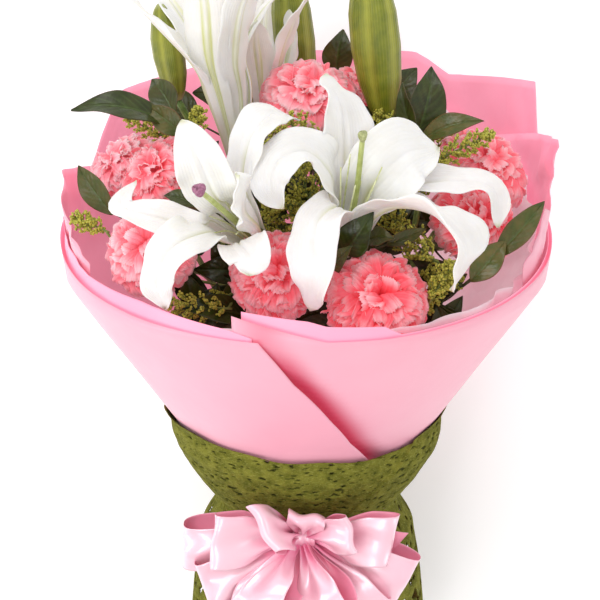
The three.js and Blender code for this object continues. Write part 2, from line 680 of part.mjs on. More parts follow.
for (const [name, { place, twig, leaves }] of Object.entries(branches)) {
  const above = twig.map((point) => vec(...point));
  addPiece(name, "leaf", (extra) => join([
    rod(stemLine(tiePlace(...place), ...above), twigRadius, 8, extra),
    ...leaves.map(([foot, tip, , , , ...via]) => {
      const end = vec(...foot).lerp(vec(...tip), 0.12);
      const line = [...via.map((point) => vec(...point)), end];
      return rod([nearest(above, line[0]), ...line], petioleRadius, line.length, extra);
    }),
    ...leaves.map((leaf) => leafBlade(leaf, extra)),
  ]));
}

// ---- Goldenrod filler -----------------------------------------------------------------------

// each: place in the tie, the points its stem passes, and its plumes as [foot, tip, radius, and
// the points the plume's own stalk passes, if any]
const sprays = {
  goldenrod_left: {
    place: [2, -30],
    stem: [[-36, -46, 150], [-52, -80, 200]],
    plumes: [
      [[-154, -70, 243], [-178, -60, 251], 7, [-72, -62, 175], [-124, -62, 198]],
      [[-60, -116, 196], [-104, -132, 204], 9],
      [[-66, -84, 262], [-74, -64, 296], 8],
    ],
  },
  goldenrod_middle: {
    place: [0, 0],
    stem: [[-2, -22, 150], [-4, -46, 236]],
    plumes: [
      [[6, -28, 278], [-14, -32, 320], 15],
      [[0, -62, 262], [-32, -68, 262], 12],
      [[18, -98, 246], [-8, -90, 256], 11],
      [[20, -14, 282], [30, 0, 316], 12],
    ],
  },
  goldenrod_right: {
    place: [2, 60],
    stem: [[44, -52, 160], [76, -70, 222]],
    plumes: [
      [[96, -92, 226], [70, -88, 246], 12],
      [[92, -36, 286], [140, -34, 310], 8],
      [[90, -126, 205], [106, -122, 232], 8],
      [[84, -44, 262], [92, -40, 280], 10],
    ],
  },
};

for (const [name, { place, stem, plumes }] of Object.entries(sprays)) {
  const above = stem.map((point) => vec(...point));
  addPiece(name, "spray", (extra) => join([
    rod(stemLine(tiePlace(...place), ...above), sprayStemRadius, 8, extra),
    ...plumes.map(([foot, tip, , ...via]) => {
      const into = vec(...foot).lerp(vec(...tip), 0.2);
      const line = [...via.map((point) => vec(...point)), into];
      return rod([nearest(above, line[0]), ...line], sprayStemRadius * 0.8, line.length, extra);
    }),
    ...plumes.map(([foot, tip, radius]) => {
      const profile = [[0, -0.06], [0.5, 0.05], [1, 0.4], [0.7, 0.8], [0, 1]];
      return turned(vec(...foot), vec(...tip), profile.map(([r, h]) => [r * radius, h]), 6, extra);
    }),
  ]));
}

// ---- Twine ----------------------------------------------------------------------------------

addPiece("stem_tie", "twine", (extra) => {
  const bundleRadius = 2 * stemPitch + carnationStemRadius;
  const ring = new THREE.TorusGeometry(bundleRadius + twineRadius + clearance, twineRadius + extra, 5, 24);
  ring.scale(1, 1, 2.2);
  return toSolid(ring);
});

// ---- Fitting together -----------------------------------------------------------------------

// Each piece is cut back where an earlier one already is, and its largest part is kept.
const reaches = (a, b) => {
  const boxA = a.boundingBox();
  const boxB = b.boundingBox();
  return [0, 1, 2].every((i) => boxA.min[i] < boxB.max[i] && boxB.min[i] < boxA.max[i]);
};

const placed = [];
for (const { name, look, shape } of pieces) {
  let solid = shape(0);
  for (const { cutter } of placed) {
    if (reaches(solid, cutter)) solid = solid.subtract(cutter);
  }
  const parts = solid.decompose();
  parts.sort((a, b) => b.volume() - a.volume());
  placed.push({ name, look, solid: parts[0], cutter: shape(clearance) });
}

// ---- The scene ------------------------------------------------------------------------------

function toGeometry(solid) {
  const mesh = solid.getMesh();
  const geometry = new THREE.BufferGeometry();
  geometry.setAttribute("position", new THREE.BufferAttribute(new Float32Array(mesh.vertProperties), 3));
  geometry.setIndex(new THREE.BufferAttribute(new Uint32Array(mesh.triVerts), 1));
  geometry.computeVertexNormals();
  return geometry;
}

const upright = new THREE.Group();
for (const { name, look, solid } of placed) {
  const mesh = new THREE.Mesh(toGeometry(solid), new THREE.MeshStandardMaterial(finishes[look]));
  mesh.name = name;
  upright.add(mesh);
}

// laid on its back, with the flat of the wrap on the ground and the origin below the middle
upright.rotation.x = tilt - Math.PI / 2;
const bouquet = new THREE.Group();
bouquet.add(upright);
bouquet.updateMatrixWorld(true);
const box = new THREE.Box3().setFromObject(bouquet, true);
upright.position.set(-(box.min.x + box.max.x) / 2, -(box.min.y + box.max.y) / 2, -box.min.z);

export default bouquet;
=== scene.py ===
import math
import random

import bpy
import numpy as np
from mathutils import Matrix, Vector, noise


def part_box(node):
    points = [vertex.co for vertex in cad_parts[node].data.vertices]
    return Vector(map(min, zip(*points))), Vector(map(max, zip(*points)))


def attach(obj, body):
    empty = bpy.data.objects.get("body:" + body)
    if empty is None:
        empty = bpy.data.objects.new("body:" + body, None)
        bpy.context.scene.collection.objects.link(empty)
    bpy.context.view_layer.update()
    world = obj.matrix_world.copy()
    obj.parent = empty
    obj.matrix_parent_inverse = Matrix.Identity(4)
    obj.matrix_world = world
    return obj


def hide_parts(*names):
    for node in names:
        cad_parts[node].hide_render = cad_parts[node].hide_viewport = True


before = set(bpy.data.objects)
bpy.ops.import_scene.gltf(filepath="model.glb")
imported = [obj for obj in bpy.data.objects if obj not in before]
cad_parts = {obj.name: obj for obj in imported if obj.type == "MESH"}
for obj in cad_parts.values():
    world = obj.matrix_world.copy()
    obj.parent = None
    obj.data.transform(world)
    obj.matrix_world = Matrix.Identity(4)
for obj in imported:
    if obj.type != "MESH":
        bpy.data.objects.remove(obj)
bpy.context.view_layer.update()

# ---- Lily stalks ---------------------------------------------------------------------------
# Three thick green stalks. Each is one growth that forks towards its flowers and buds. They stand
# side by side in the tie and spread a little below it, down to their cut ends.

# The bouquet is drawn as it was put together, upright round its tie, in millimetres: x to the
# right, y to the back, z up along the stems. lay_down puts it on its back, in metres.
rest_at_hem = 88
rest_at_rim = 190
hem_drop = 165
rim_height = 193
rest_slope = (rest_at_rim - rest_at_hem) / (hem_drop + rim_height)
tilt = math.atan(rest_slope)
tie_low, tie_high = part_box("stem_tie")
tie_centre = (Vector(tie_low) + Vector(tie_high)) / 2
on_its_back = Matrix.Rotation(tilt - math.pi / 2, 4, "X")
lay_down = Matrix.Translation(tie_centre) @ on_its_back @ Matrix.Scale(0.001, 4)


def vec(values):
    return np.array(values, float)


def unit(vectors):
    return vectors / np.linalg.norm(vectors, axis=-1, keepdims=True)


def lerp(a, b, share):
    return a + (b - a) * share


def smooth_line(corners, steps):
    """steps + 1 evenly spaced points on a smooth line through the corners."""
    corners = [vec(corner) for corner in corners]
    if len(corners) == 2:
        return lerp(corners[0], corners[1], np.linspace(0, 1, steps + 1)[:, None])
    corners = [2 * corners[0] - corners[1], *corners, 2 * corners[-1] - corners[-2]]
    t = np.linspace(0, 1, 24, endpoint=False)[:, None]
    dense = []
    for before, start, end, after in zip(corners, corners[1:], corners[2:], corners[3:]):
        steps_between = ((before, start), (start, end), (end, after))
        gaps = [max(np.linalg.norm(b - a), 1e-6) ** 0.5 for a, b in steps_between]
        leave = (start - before) / gaps[0] - (end - before) / (gaps[0] + gaps[1]) + (end - start) / gaps[1]
        arrive = (end - start) / gaps[1] - (after - start) / (gaps[1] + gaps[2]) + (after - end) / gaps[2]
        leave, arrive = leave * gaps[1], arrive * gaps[1]
        bend = 2 * start - 2 * end + leave + arrive
        turn = -3 * start + 3 * end - 2 * leave - arrive
        dense.append(start + leave * t + turn * t**2 + bend * t**3)
    dense = np.vstack([*dense, corners[-2]])
    reach = np.concatenate([[0], np.cumsum(np.linalg.norm(np.diff(dense, axis=0), axis=1))])
    wanted = np.linspace(0, reach[-1], steps + 1)
    return np.stack([np.interp(wanted, reach, dense[:, k]) for k in range(3)], axis=1)


def carried_along(line, first=None):
    """Tangents of a line, and crosswise directions carried along it without twisting."""
    tangents = unit(np.gradient(line, axis=0))
    if first is None:
        first = np.cross(tangents[0], (0.3, 1, 0.2))
    crosswise = []
    for tangent in tangents:
        first = unit(first - tangent * np.dot(first, tangent))
        crosswise.append(first)
    return tangents, np.array(crosswise)


def circle(aside, upward, count):
    """Evenly spaced angles round an axis, and the directions at them."""
    turn = np.linspace(0, 2 * np.pi, count, endpoint=False)
    return turn, aside * np.cos(turn)[:, None] + upward * np.sin(turn)[:, None]


def marks(across, along, tint, chance):
    """Four values for the finish at each point: place across and along, a tint, and a draw of its own."""
    values = (np.asarray(value, float) for value in (across, along, tint, chance))
    return np.stack(np.broadcast_arrays(*values), axis=-1)


class Shape:
    """One piece's mesh while it is being drawn."""

    def __init__(self):
        self.points, self.marks, self.faces, self.kinds = [], [], [], []
        self.size = 0

    def add(self, points, point_marks, faces, kind=0):
        self.points.append(points.reshape(-1, 3))
        self.marks.append(point_marks.reshape(-1, 4))
        self.faces += [[corner + self.size for corner in face] for face in faces]
        self.kinds += [kind] * len(faces)
        self.size += len(self.points[-1])

    def grid(self, points, point_marks, kind=0, ring=False, capped=False, keep=None):
        """Rows and columns of points as a sheet; ring joins its sides, keep says which cells exist."""
        rows, columns = points.shape[:2]
        faces = []
        for i in range(rows - 1):
            low, high = i * columns, (i + 1) * columns
            for j in range(columns if ring else columns - 1):
                if keep is None or keep[i, j]:
                    k = (j + 1) % columns
                    faces.append((low + j, low + k, high + k, high + j))
        if capped:
            faces.append(tuple(range(columns - 1, -1, -1)))
            faces.append(tuple((rows - 1) * columns + j for j in range(columns)))
        self.add(points, np.broadcast_to(point_marks, (rows, columns, 4)), faces, kind)

    def tube(self, line, radii, sides=8, kind=0):
        """A round stem along a line, closed at both ends."""
        tangents, crosswise = carried_along(line)
        turn, ring = circle(crosswise[:, None], np.cross(tangents, crosswise)[:, None], sides)
        radii = np.broadcast_to(radii, len(line))
        points = line[:, None] + ring * radii[:, None, None]
        along = np.linspace(0, 1, len(line))[:, None]
        self.grid(points, marks(turn / (2 * np.pi), along, 0, 0.5), kind, ring=True, capped=True)


def make_piece(name, shape, finishes, nodes=(), thickness=0.0, inner_finish=0):
    """A drawn shape becomes an object that rides on the bouquet; thickness is given to thin sheets."""
    mesh = bpy.data.meshes.new(name)
    mesh.from_pydata(np.vstack(shape.points).tolist(), [], shape.faces)
    mesh.transform(lay_down)
    mark = mesh.attributes.new("mark", "FLOAT_COLOR", "POINT")
    mark.data.foreach_set("color", np.vstack(shape.marks).ravel())
    mesh.polygons.foreach_set("material_index", shape.kinds)
    mesh.polygons.foreach_set("use_smooth", [True] * len(mesh.polygons))
    for finish in finishes:
        mesh.materials.append(finish)
    piece = bpy.data.objects.new(name, mesh)
    bpy.context.collection.objects.link(piece)
    if thickness:
        solid = piece.modifiers.new("thickness", "SOLIDIFY")
        solid.thickness = thickness * 0.001
        solid.offset = 0
        solid.material_offset = inner_finish
    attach(piece, "root")
    if nodes:
        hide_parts(*nodes)
    return piece


def add_node(tree, kind, feeds, **settings):
    """A node whose inputs, by name or number, take another node's output or a value."""
    node = tree.nodes.new(kind)
    for key, value in settings.items():
        setattr(node, key, value)
    for key, feed in feeds.items():
        if isinstance(feed, bpy.types.NodeSocket):
            tree.links.new(feed, node.inputs[key])
        else:
            node.inputs[key].default_value = feed
    return node


def calculate(tree, operation, a, b=0.0, c=0.0):
    return add_node(tree, "ShaderNodeMath", {0: a, 1: b, 2: c}, operation=operation).outputs[0]


def blend_colours(tree, share, a, b):
    """The Mix node's colour sockets are its inputs 6 and 7 and its output 2."""
    return add_node(tree, "ShaderNodeMix", {0: share, 6: a, 7: b}, data_type="RGBA").outputs[2]


def new_group(name, inputs, outputs):
    """An empty shader node group; inputs and outputs are given as name: (socket type, value)."""
    group = bpy.data.node_groups.new(name, "ShaderNodeTree")
    for label, (kind, value) in inputs.items():
        socket = group.interface.new_socket(label, in_out="INPUT", socket_type=kind)
        if value is not None:
            socket.default_value = value
    for label, kind in outputs.items():
        group.interface.new_socket(label, in_out="OUTPUT", socket_type=kind)
    return group, group.nodes.new("NodeGroupInput"), group.nodes.new("NodeGroupOutput")


# Mottling: two shades of one colour in soft patches, as on anything that grew.
mottling, given, made = new_group(
    "mottling",
    {"Place": ("NodeSocketVector", None), "Patches": ("NodeSocketFloat", 100.0),
     "Shade": ("NodeSocketColor", (1, 1, 1, 1)), "Light": ("NodeSocketColor", (1, 1, 1, 1))},
    {"Colour": "NodeSocketColor", "Height": "NodeSocketFloat"},
)
patches = add_node(mottling, "ShaderNodeTexNoise",
                   {"Vector": given.outputs["Place"], "Scale": given.outputs["Patches"], "Detail": 4.0})
patch_share = add_node(mottling, "ShaderNodeMapRange", {0: patches.outputs[0], 1: 0.35, 2: 0.65}).outputs[0]
two_shades = blend_colours(mottling, patch_share, given.outputs["Shade"], given.outputs["Light"])
mottling.links.new(two_shades, made.inputs["Colour"])
mottling.links.new(patch_share, made.inputs["Height"])

# Ribs: fine parallel ridges that run along a stem or a petal.
ribs, given, made = new_group(
    "ribs",
    {"Across": ("NodeSocketFloat", 0.0), "Count": ("NodeSocketFloat", 10.0),
     "Fineness": ("NodeSocketFloat", 1.0)},
    {"Ridge": "NodeSocketFloat"},
)
rib_turn = calculate(ribs, "MULTIPLY", given.outputs["Across"], given.outputs["Count"])
rib_wave = calculate(ribs, "COSINE", calculate(ribs, "MULTIPLY", rib_turn, 2 * math.pi))
rib_height = calculate(ribs, "MULTIPLY_ADD", rib_wave, 0.5, 0.5)
ribs.links.new(calculate(ribs, "POWER", rib_height, given.outputs["Fineness"]), made.inputs["Ridge"])


def mottled(tree, place, patch_scale, shade, light):
    """The mottling group in a material."""
    feeds = {"Place": place, "Patches": patch_scale, "Shade": shade, "Light": light}
    return add_node(tree, "ShaderNodeGroup", feeds, node_tree=mottling)


def ridges(tree, across, count, fineness):
    """The ribs group in a material."""
    feeds = {"Across": across, "Count": count, "Fineness": fineness}
    return add_node(tree, "ShaderNodeGroup", feeds, node_tree=ribs).outputs["Ridge"]


def new_finish(name, **values):
    """A material, its shader with these values set, and what the piece's points carry for it."""
    finish = bpy.data.materials.new(name)
    finish.use_nodes = True
    tree = finish.node_tree
    shader = tree.nodes["Principled BSDF"]
    for socket, value in values.items():
        shader.inputs[socket.replace("_", " ")].default_value = value
    mark = add_node(tree, "ShaderNodeAttribute", {}, attribute_name="mark")
    parts = add_node(tree, "ShaderNodeSeparateColor", {0: mark.outputs["Color"]})
    across, along, tint = parts.outputs
    place = add_node(tree, "ShaderNodeTexCoord", {}).outputs["Object"]
    return finish, tree, shader, (place, across, along, tint, mark.outputs["Alpha"])


def paint(tree, shader, colour):
    tree.links.new(colour, shader.inputs["Base Color"])


def raise_surface(tree, shader, height, depth):
    """Relief of that depth in metres, as a bump."""
    relief = add_node(tree, "ShaderNodeBump", {"Height": height, "Distance": depth, "Strength": 1.0})
    tree.links.new(relief.outputs[0], shader.inputs["Normal"])


def growing_finish(name, shade, light, patch_scale, rib_count, rib_depth, **values):
    """Stalks, twigs and calyxes: mottled green with fine ribs."""
    finish, tree, shader, (place, across, along, tint, chance) = new_finish(name, **values)
    green = mottled(tree, place, patch_scale, shade, light)
    paint(tree, shader, green.outputs["Colour"])
    ridge = ridges(tree, across, rib_count, 1.5)
    height = calculate(tree, "MULTIPLY_ADD", green.outputs["Height"], 0.4, ridge)
    raise_surface(tree, shader, height, rib_depth)
    return finish


stalk_finish = growing_finish(
    "lily_stalk", (0.07, 0.14, 0.025, 1), (0.16, 0.27, 0.05, 1), 160, 9, 0.0003, Roughness=0.45)

lily_stalk_radius = 5
stem_pitch = 10.5
stem_foot = 150
stem_splay = 1.6
bundle_length = 32


def tie_place(ring, degrees):
    """Places in the tie, as in a bundle of rods: one in the middle, six round it, twelve outside."""
    angle = math.radians(degrees)
    outer = 2 * stem_pitch if degrees % 60 == 30 else math.sqrt(3) * stem_pitch
    radius = (0, stem_pitch, outer)[ring]
    return np.array([radius * math.sin(angle), -radius * math.cos(angle), 0])


def stem_line(place, *above):
    """From the cut end, through a place in the tie, to what the stem carries."""
    up = np.array([0, 0, 1])
    cut_end = place * stem_splay - up * stem_foot
    return [cut_end, place - up * bundle_length, place + up * bundle_length, *above]


# Mouth of each open flower, the way it faces, how far it is turned, how far its pistil stands out,
# and its tepals: width, whether it is an inner petal, and the points it passes after the mouth.
lilies = {
    "lily_a": {
        "mouth": (-54, -114, 262), "axis": (-0.25, -0.8, 0.5), "roll": 30, "pistil": 74,
        "tepals": [
            (41, True, [(-68, -130, 286), (-79, -138, 315), (-92, -128, 343)]),
            (26, False, [(-79, -132, 265), (-112, -128, 271), (-139, -110, 276), (-128, -95, 289)]),
            (32, True, [(-75, -146, 264), (-99, -166, 258), (-110, -165, 233), (-104, -152, 208)]),
            (38, False, [(-51, -140, 254), (-42, -163, 250), (-43, -168, 238)]),
            (34, True, [(-47, -138, 278), (-47, -158, 300), (-52, -168, 313)]),
            (38, False, [(-48, -112, 295), (-42, -100, 325), (-26, -85, 338), (-7, -70, 329)]),
        ],
    },
    "lily_b": {
        "mouth": (31, -85, 258), "axis": (0.15, -0.5, 0.85), "roll": 10, "pistil": 80,
        "tepals": [
            (44, False, [(27, -84, 295), (25, -74, 338), (13, -58, 362)]),
            (42, True, [(16, -104, 296), (-2, -110, 316), (-23, -120, 311), (-28, -126, 293),
                        (-18, -132, 278)]),
            (37, False, [(21, -118, 275), (6, -148, 272), (3, -165, 245), (1, -158, 208)]),
            (56, True, [(61, -118, 275), (94, -145, 276), (113, -156, 254), (104, -154, 222)]),
            (36, False, [(66, -92, 279), (105, -84, 286), (138, -86, 281), (142, -98, 254)]),
            (62, True, [(50, -94, 288), (72, -90, 309), (97, -74, 309)]),
        ],
    },
    "lily_c": {
        "mouth": (-64, 18, 332), "axis": (-0.16, -0.05, 0.98), "roll": -75, "pistil": 60,
        "tepals": [
            (38, True, [(-86, 2, 352), (-112, -8, 385), (-146, -10, 420)]),
            (37, False, [(-76, -10, 362), (-79, -22, 410), (-84, -34, 452)]),
            (38, True, [(-56, -6, 361), (-50, -15, 405), (-34, -17, 441)]),
            (32, False, [(-50, 26, 361), (-36, 34, 391), (-12, 42, 414)]),
            (36, True, [(-62, 44, 364), (-56, 56, 408), (-50, 72, 440)]),
            (32, False, [(-84, 42, 358), (-107, 56, 394), (-128, 72, 415)]),
        ],
    },
    "lily_d": {
        "mouth": (-37, 75, 317), "axis": (-0.1, -0.15, 0.98), "roll": -60, "pistil": 45,
        "tepals": [
            (30, True, [(-56, 64, 343), (-66, 54, 370), (-70, 46, 388)]),
            (28, False, [(-39, 50, 345), (-41, 38, 368), (-40, 26, 386)]),
            (30, True, [(-22, 58, 345), (-12, 48, 378), (0, 43, 404)]),
            (28, False, [(-17, 80, 340), (-13, 78, 364), (-15, 72, 386)]),
            (32, True, [(-38, 100, 345), (-36, 117, 375), (-36, 132, 400)]),
            (30, False, [(-60, 90, 338), (-74, 102, 357), (-88, 110, 374)]),
        ],
    },
}
lily_tube = 58
for lily in lilies.values():
    lily["mouth"] = vec(lily["mouth"])
    lily["axis"] = unit(vec(lily["axis"]))
    lily["base"] = lily["mouth"] - lily["axis"] * lily_tube
    lily["stalk_top"] = lily["base"] + lily["axis"] * 2

# each bud: base, tip and radius
buds = {
    "lily_bud_e": ((-3, 100, 297), (-18, 100, 425), 17.1),
    "lily_bud_f": ((62, 40, 301), (46, 40, 438), 20.0),
    "lily_bud_g": ((-104, 50, 317), (-117, 50, 396), 12.9),
}
fork_low = (8, -4, 170)
fork_left = (-32, 32, 195)
stalks = {
    "lily_stalk_left": [stem_line(tie_place(1, -30), (-34, -34, 165), lilies["lily_a"]["stalk_top"])],
    "lily_stalk_right": [
        stem_line(tie_place(1, 90), fork_low, lilies["lily_b"]["stalk_top"]),
        [fork_low, (44, 28, 250), buds["lily_bud_f"][0]],
    ],
    "lily_stalk_back": [
        stem_line(tie_place(1, -150), fork_left, lilies["lily_c"]["stalk_top"]),
        [fork_left, (-30, 62, 235), lilies["lily_d"]["stalk_top"]],
        [fork_left, (-12, 80, 245), buds["lily_bud_e"][0]],
        [fork_left, (-76, 48, 265), buds["lily_bud_g"][0]],
    ],
}
for name, lines in stalks.items():
    shape = Shape()
    for index, line in enumerate(lines):
        thick = lily_stalk_radius if index == 0 else lily_stalk_radius * 0.7
        steps = 60 if index == 0 else 24
        shape.tube(smooth_line(line, steps), lerp(thick, thick * 0.8, np.linspace(0, 1, steps + 1)), 12)
    make_piece(name, shape, [stalk_finish], [name])

# ---- Carnations ----------------------------------------------------------------------------
# Nine carnations. Nearly sixty fan-shaped petals with toothed rims come crowded and ruffled out of
# a green tubular calyx, on a thin jointed stem.

carnation_radius = 36
carnation_depth = 52
calyx_length = 30
carnation_stem_radius = 2.5
carnation_petals = 58
stem_steps = 90
stem_joints = range(14, stem_steps, 19)
joint_swell = 1.45
calyx_levels = np.array([-30, -28, -20, -10, 0, 6, 8])
calyx_radii = np.array([2.6, 4.2, 6.6, 8, 8.8, 9.2, 7.5])
calyx_teeth = 5
golden_angle = math.pi * (3 - math.sqrt(5))

# centre of the head, the way it faces, its size, its place in the tie, and how deep its colour is
carnations = [
    ((-117, -92, 234), (-0.5, -0.7, 0.5), 1.0, (2, -60), 0.35),
    ((-114, -24, 272), (-0.65, -0.4, 0.65), 0.94, (1, -90), 0.6),
    ((-146, 36, 262), (-0.6, -0.2, 0.78), 0.9, (2, -120), 0.1),
    ((0, 34, 320), (0.05, -0.5, 0.86), 1.04, (1, 150), 0.4),
    ((47, 99, 308), (0.3, -0.1, 0.95), 0.9, (2, 180), 0.55),
    ((-24, -113, 220), (-0.05, -0.8, 0.6), 0.95, (2, 0), 0.75),
    ((50, -132, 206), (0.2, -0.75, 0.62), 1.06, (2, 30), 0.95),
    ((135, 0, 270), (0.45, -0.4, 0.8), 1.04, (2, 120), 0.6),
    ((126, -52, 244), (0.5, -0.65, 0.55), 0.96, (2, 90), 0.95),
]

petal_finish, tree, shader, (place, across, along, tint, chance) = new_finish(
    "carnation_petal", Roughness=0.7, Subsurface_Weight=0.2, Subsurface_Radius=(0.008, 0.003, 0.003),
    Subsurface_Scale=1.0, Specular_IOR_Level=0.1, Emission_Strength=0.08)
# Colour runs from deep at each petal's foot, through its body, to a pale rim. The deep end is partly the
# flower's own tint and partly painted shade in the folds between the petals.
deep_and_fold_shade = blend_colours(tree, chance, (0.94, 0.15, 0.22, 1), (0.88, 0.03, 0.06, 1))
body = blend_colours(tree, chance, (0.97, 0.31, 0.37, 1), (0.96, 0.12, 0.155, 1))
rim = blend_colours(tree, chance, (0.98, 0.64, 0.69, 1), (0.98, 0.42, 0.46, 1))
lower = add_node(tree, "ShaderNodeMapRange", {0: along, 1: 0.4, 2: 0.92}).outputs[0]
upper = add_node(tree, "ShaderNodeMapRange", {0: along, 1: 0.86, 2: 1.0}).outputs[0]
petal_colour = blend_colours(tree, upper, blend_colours(tree, lower, deep_and_fold_shade, body), rim)
streaks = ridges(tree, across, 13, 2)
streak_share = calculate(tree, "MULTIPLY", streaks, 0.05)
streaked = blend_colours(tree, streak_share, petal_colour, (0.95, 0.7, 0.74, 1))
paint(tree, shader, streaked)
# The petals also glow faintly in their own colour (Emission_Strength above): painted light standing in for
# light passing through them.
tree.links.new(streaked, shader.inputs["Emission Color"])
raise_surface(tree, shader, streaks, 0.0003)

calyx_finish = growing_finish(
    "carnation_calyx", (0.13, 0.22, 0.06, 1), (0.27, 0.38, 0.13, 1), 200, 10, 0.0003, Roughness=0.55)


def smoothstep(x, low, high):
    share = np.clip((x - low) / (high - low), 0, 1)
    return share * share * (3 - 2 * share)


def sides_of(axis, hint):
    """Two directions across an axis, at right angles to each other."""
    aside = unit(np.cross(axis, hint))
    return aside, np.cross(axis, aside)


def add_carnation_petal(shape, foot, axis, outward, lean, size, draw, depth):
    """One fan-shaped petal that rises from the calyx and bends out by lean, its angle from the axis."""
    columns = 41
    wide = carnation_radius * size
    tall = carnation_depth * size / 2
    centre = foot + axis * tall
    reach = draw.uniform(0.9, 1.03)

    def on_head(angle, share):
        return centre + (outward * wide * math.sin(angle) + axis * tall * math.cos(angle)) * share

    curl = draw.uniform(0.12, 0.5) * lerp(0.5, 1, min(lean, 1))
    line = smooth_line([foot + outward * 2.5, on_head(lean * 0.75 - 0.1, 0.5),
                        on_head(lean - 0.02, 0.9 * reach), on_head(lean + curl, reach)], 11)
    tangents, sideways = carried_along(line, np.cross(axis, outward))
    normal = np.cross(tangents, sideways)[:, None]
    tangents, sideways = tangents[:, None], sideways[:, None]
    v = np.linspace(0, 1, len(line))[:, None, None]
    u = np.linspace(-1, 1, columns)[None, :, None]
    blade = draw.uniform(0.85, 1.2) * lerp(12, 21, min(lean, 1.3) / 1.3) * size
    half = blade * lerp(0.14, 1, smoothstep(v, 0.15, 0.9))
    points = line[:, None] + sideways * half * u * (1 - 0.1 * u**2)
    points = points - tangents * (v**2) * (u**2) * blade * 0.5
    teeth = np.where(np.arange(columns) % 2 == 0, 1.0, -1.0)[None, :, None] * draw.uniform(0.7, 1.2)
    points = points + tangents * teeth * (v > 0.99) * 0.8 * size
    waves = draw.uniform(1.3, 2.3)
    phase = draw.uniform(0, 2 * math.pi)
    swing = draw.uniform(2.6, 5.2) * size
    ruffle = np.sin(math.pi * waves * u + phase) * swing * v**1.6
    ruffle = ruffle + np.sin(math.pi * waves * 3.1 * u + 2.3 * phase) * swing * 0.4 * v**3
    points = points + normal * (ruffle + draw.uniform(-3, 2) * u**2 * v)
    inside = points - centre
    height = (inside @ axis)[..., None]
    round_part = inside - height * axis
    over = np.sqrt((np.linalg.norm(round_part, axis=-1, keepdims=True) / wide) ** 2 + (height / tall) ** 2)
    points = centre + inside * np.where(over > 1, (1 + 0.45 * (over - 1)) / over, 1)
    across = (u[..., 0] + 1) / 2
    shade = np.clip(depth + draw.uniform(-0.2, 0.2), 0, 1)
    shape.grid(points, marks(across, v[..., 0], 0, shade))


for index, (centre, facing, size, slot_in_tie, depth) in enumerate(carnations):
    draw = random.Random(100 + index)
    name = f"carnation_{index + 1}"
    centre = vec(centre)
    axis = unit(vec(facing))
    foot = centre - axis * carnation_depth * size / 2
    head = Shape()
    aside, upward = sides_of(axis, (0.2, 0.3, 1))
    for k in range(carnation_petals):
        turn = k * golden_angle + draw.uniform(-0.25, 0.25)
        outward = aside * math.cos(turn) + upward * math.sin(turn)
        lean = 1.85 * ((k + 0.5) / carnation_petals) ** 0.6 + draw.uniform(-0.1, 0.1)
        add_carnation_petal(head, foot, axis, outward, max(lean, 0.03), size, draw, depth)
    make_piece(f"{name}_head", head, [petal_finish], [name], thickness=0.35)

    stem = Shape()
    calyx_foot = foot - axis * calyx_length
    up_to_calyx = (calyx_foot - axis * 24, calyx_foot + axis * 4)
    line = smooth_line(stem_line(tie_place(*slot_in_tie), *up_to_calyx), stem_steps)
    radii = np.full(len(line), carnation_stem_radius)
    radii[stem_joints] *= joint_swell
    stem.tube(line, radii, 8)
    cup = foot[None] + axis * (calyx_levels[:, None] * size)
    stem.tube(cup, calyx_radii * size, 15)
    for tooth in range(calyx_teeth):
        turn = tooth * 2 * math.pi / calyx_teeth
        outward = aside * math.cos(turn) + upward * math.sin(turn)
        blade = np.array([[foot + axis * lift + outward * out + np.cross(axis, outward) * side * wide
                           for side in (-1, 0, 1)]
                          for lift, out, wide in ((2, 9.4, 4), (8, 11, 2.6), (13, 14, 0.3))])
        stem.grid(blade, marks(0.5, 0.5, 0, 0.5))
    make_piece(f"{name}_stem", stem, [calyx_finish])

# ---- Open lilies ---------------------------------------------------------------------------
# Four white lilies. Each has six thick waxy tepals rolled into a tube at the foot: three broad inner
# petals with waved edges and three narrower outer sepals. They recurve, and carry a midrib channel.

throat_radius = 7
mouth_radius = 16
sepal_offset = 3.4

# The tepals glow faintly white: painted light standing in for light passing through the thin petals.
tepal_finish, tree, shader, (place, across, along, tint, chance) = new_finish(
    "lily_petal", Roughness=0.42, Subsurface_Weight=0.35, Subsurface_Radius=(0.004, 0.0035, 0.0025),
    Subsurface_Scale=1.0, Specular_IOR_Level=0.35, Emission_Color=(1, 0.97, 0.95, 1),
    Emission_Strength=0.07)
waxy = mottled(tree, place, 45, (0.71, 0.695, 0.665, 1), (0.77, 0.76, 0.745, 1))
green = blend_colours(tree, tint, waxy.outputs["Colour"], (0.46, 0.50, 0.09, 1))
paint(tree, shader, green)
veins = ridges(tree, across, 17, 1)
pores = add_node(tree, "ShaderNodeTexNoise", {"Vector": place, "Scale": 700.0, "Detail": 2.0}).outputs[0]
raise_surface(tree, shader, calculate(tree, "MULTIPLY_ADD", pores, 0.35, veins), 0.00011)


def shares(rows, columns, left=-1):
    """Places on a sheet: 0 to 1 down its rows, and left to 1 across its columns."""
    return np.linspace(0, 1, rows)[:, None], np.linspace(left, 1, columns)[None, :]


def bump(x, at, wide):
    """A smooth hump of height 1."""
    return np.exp(-((x - at) / wide) ** 2)


def round_axis(axis, degrees):
    """Directions round an axis: 0 is nearest to straight up, or to the front for an upright axis."""
    zero = np.array([0.0, -1.0, 0.0]) if axis[2] > 0.9 else np.array([0.0, 0.0, 1.0])
    zero = unit(zero - axis * np.dot(zero, axis))
    angle = math.radians(degrees)
    return zero * math.cos(angle) + np.cross(axis, zero) * math.sin(angle)


blunt_tepals = {("lily_b", 0), ("lily_b", 2), ("lily_b", 3), ("lily_a", 3)}
# how far some tepals turn over sideways on their way to the tip, in degrees
tepal_twists = {("lily_b", 0): 18, ("lily_a", 1): 48, ("lily_a", 2): -20, ("lily_b", 2): 32,
                ("lily_b", 4): 14, ("lily_a", 5): 25}
trumpets = ("lily_c", "lily_d")
broad_wave = 4.8
narrow_wave = 2.6
trumpet_share = 0.4


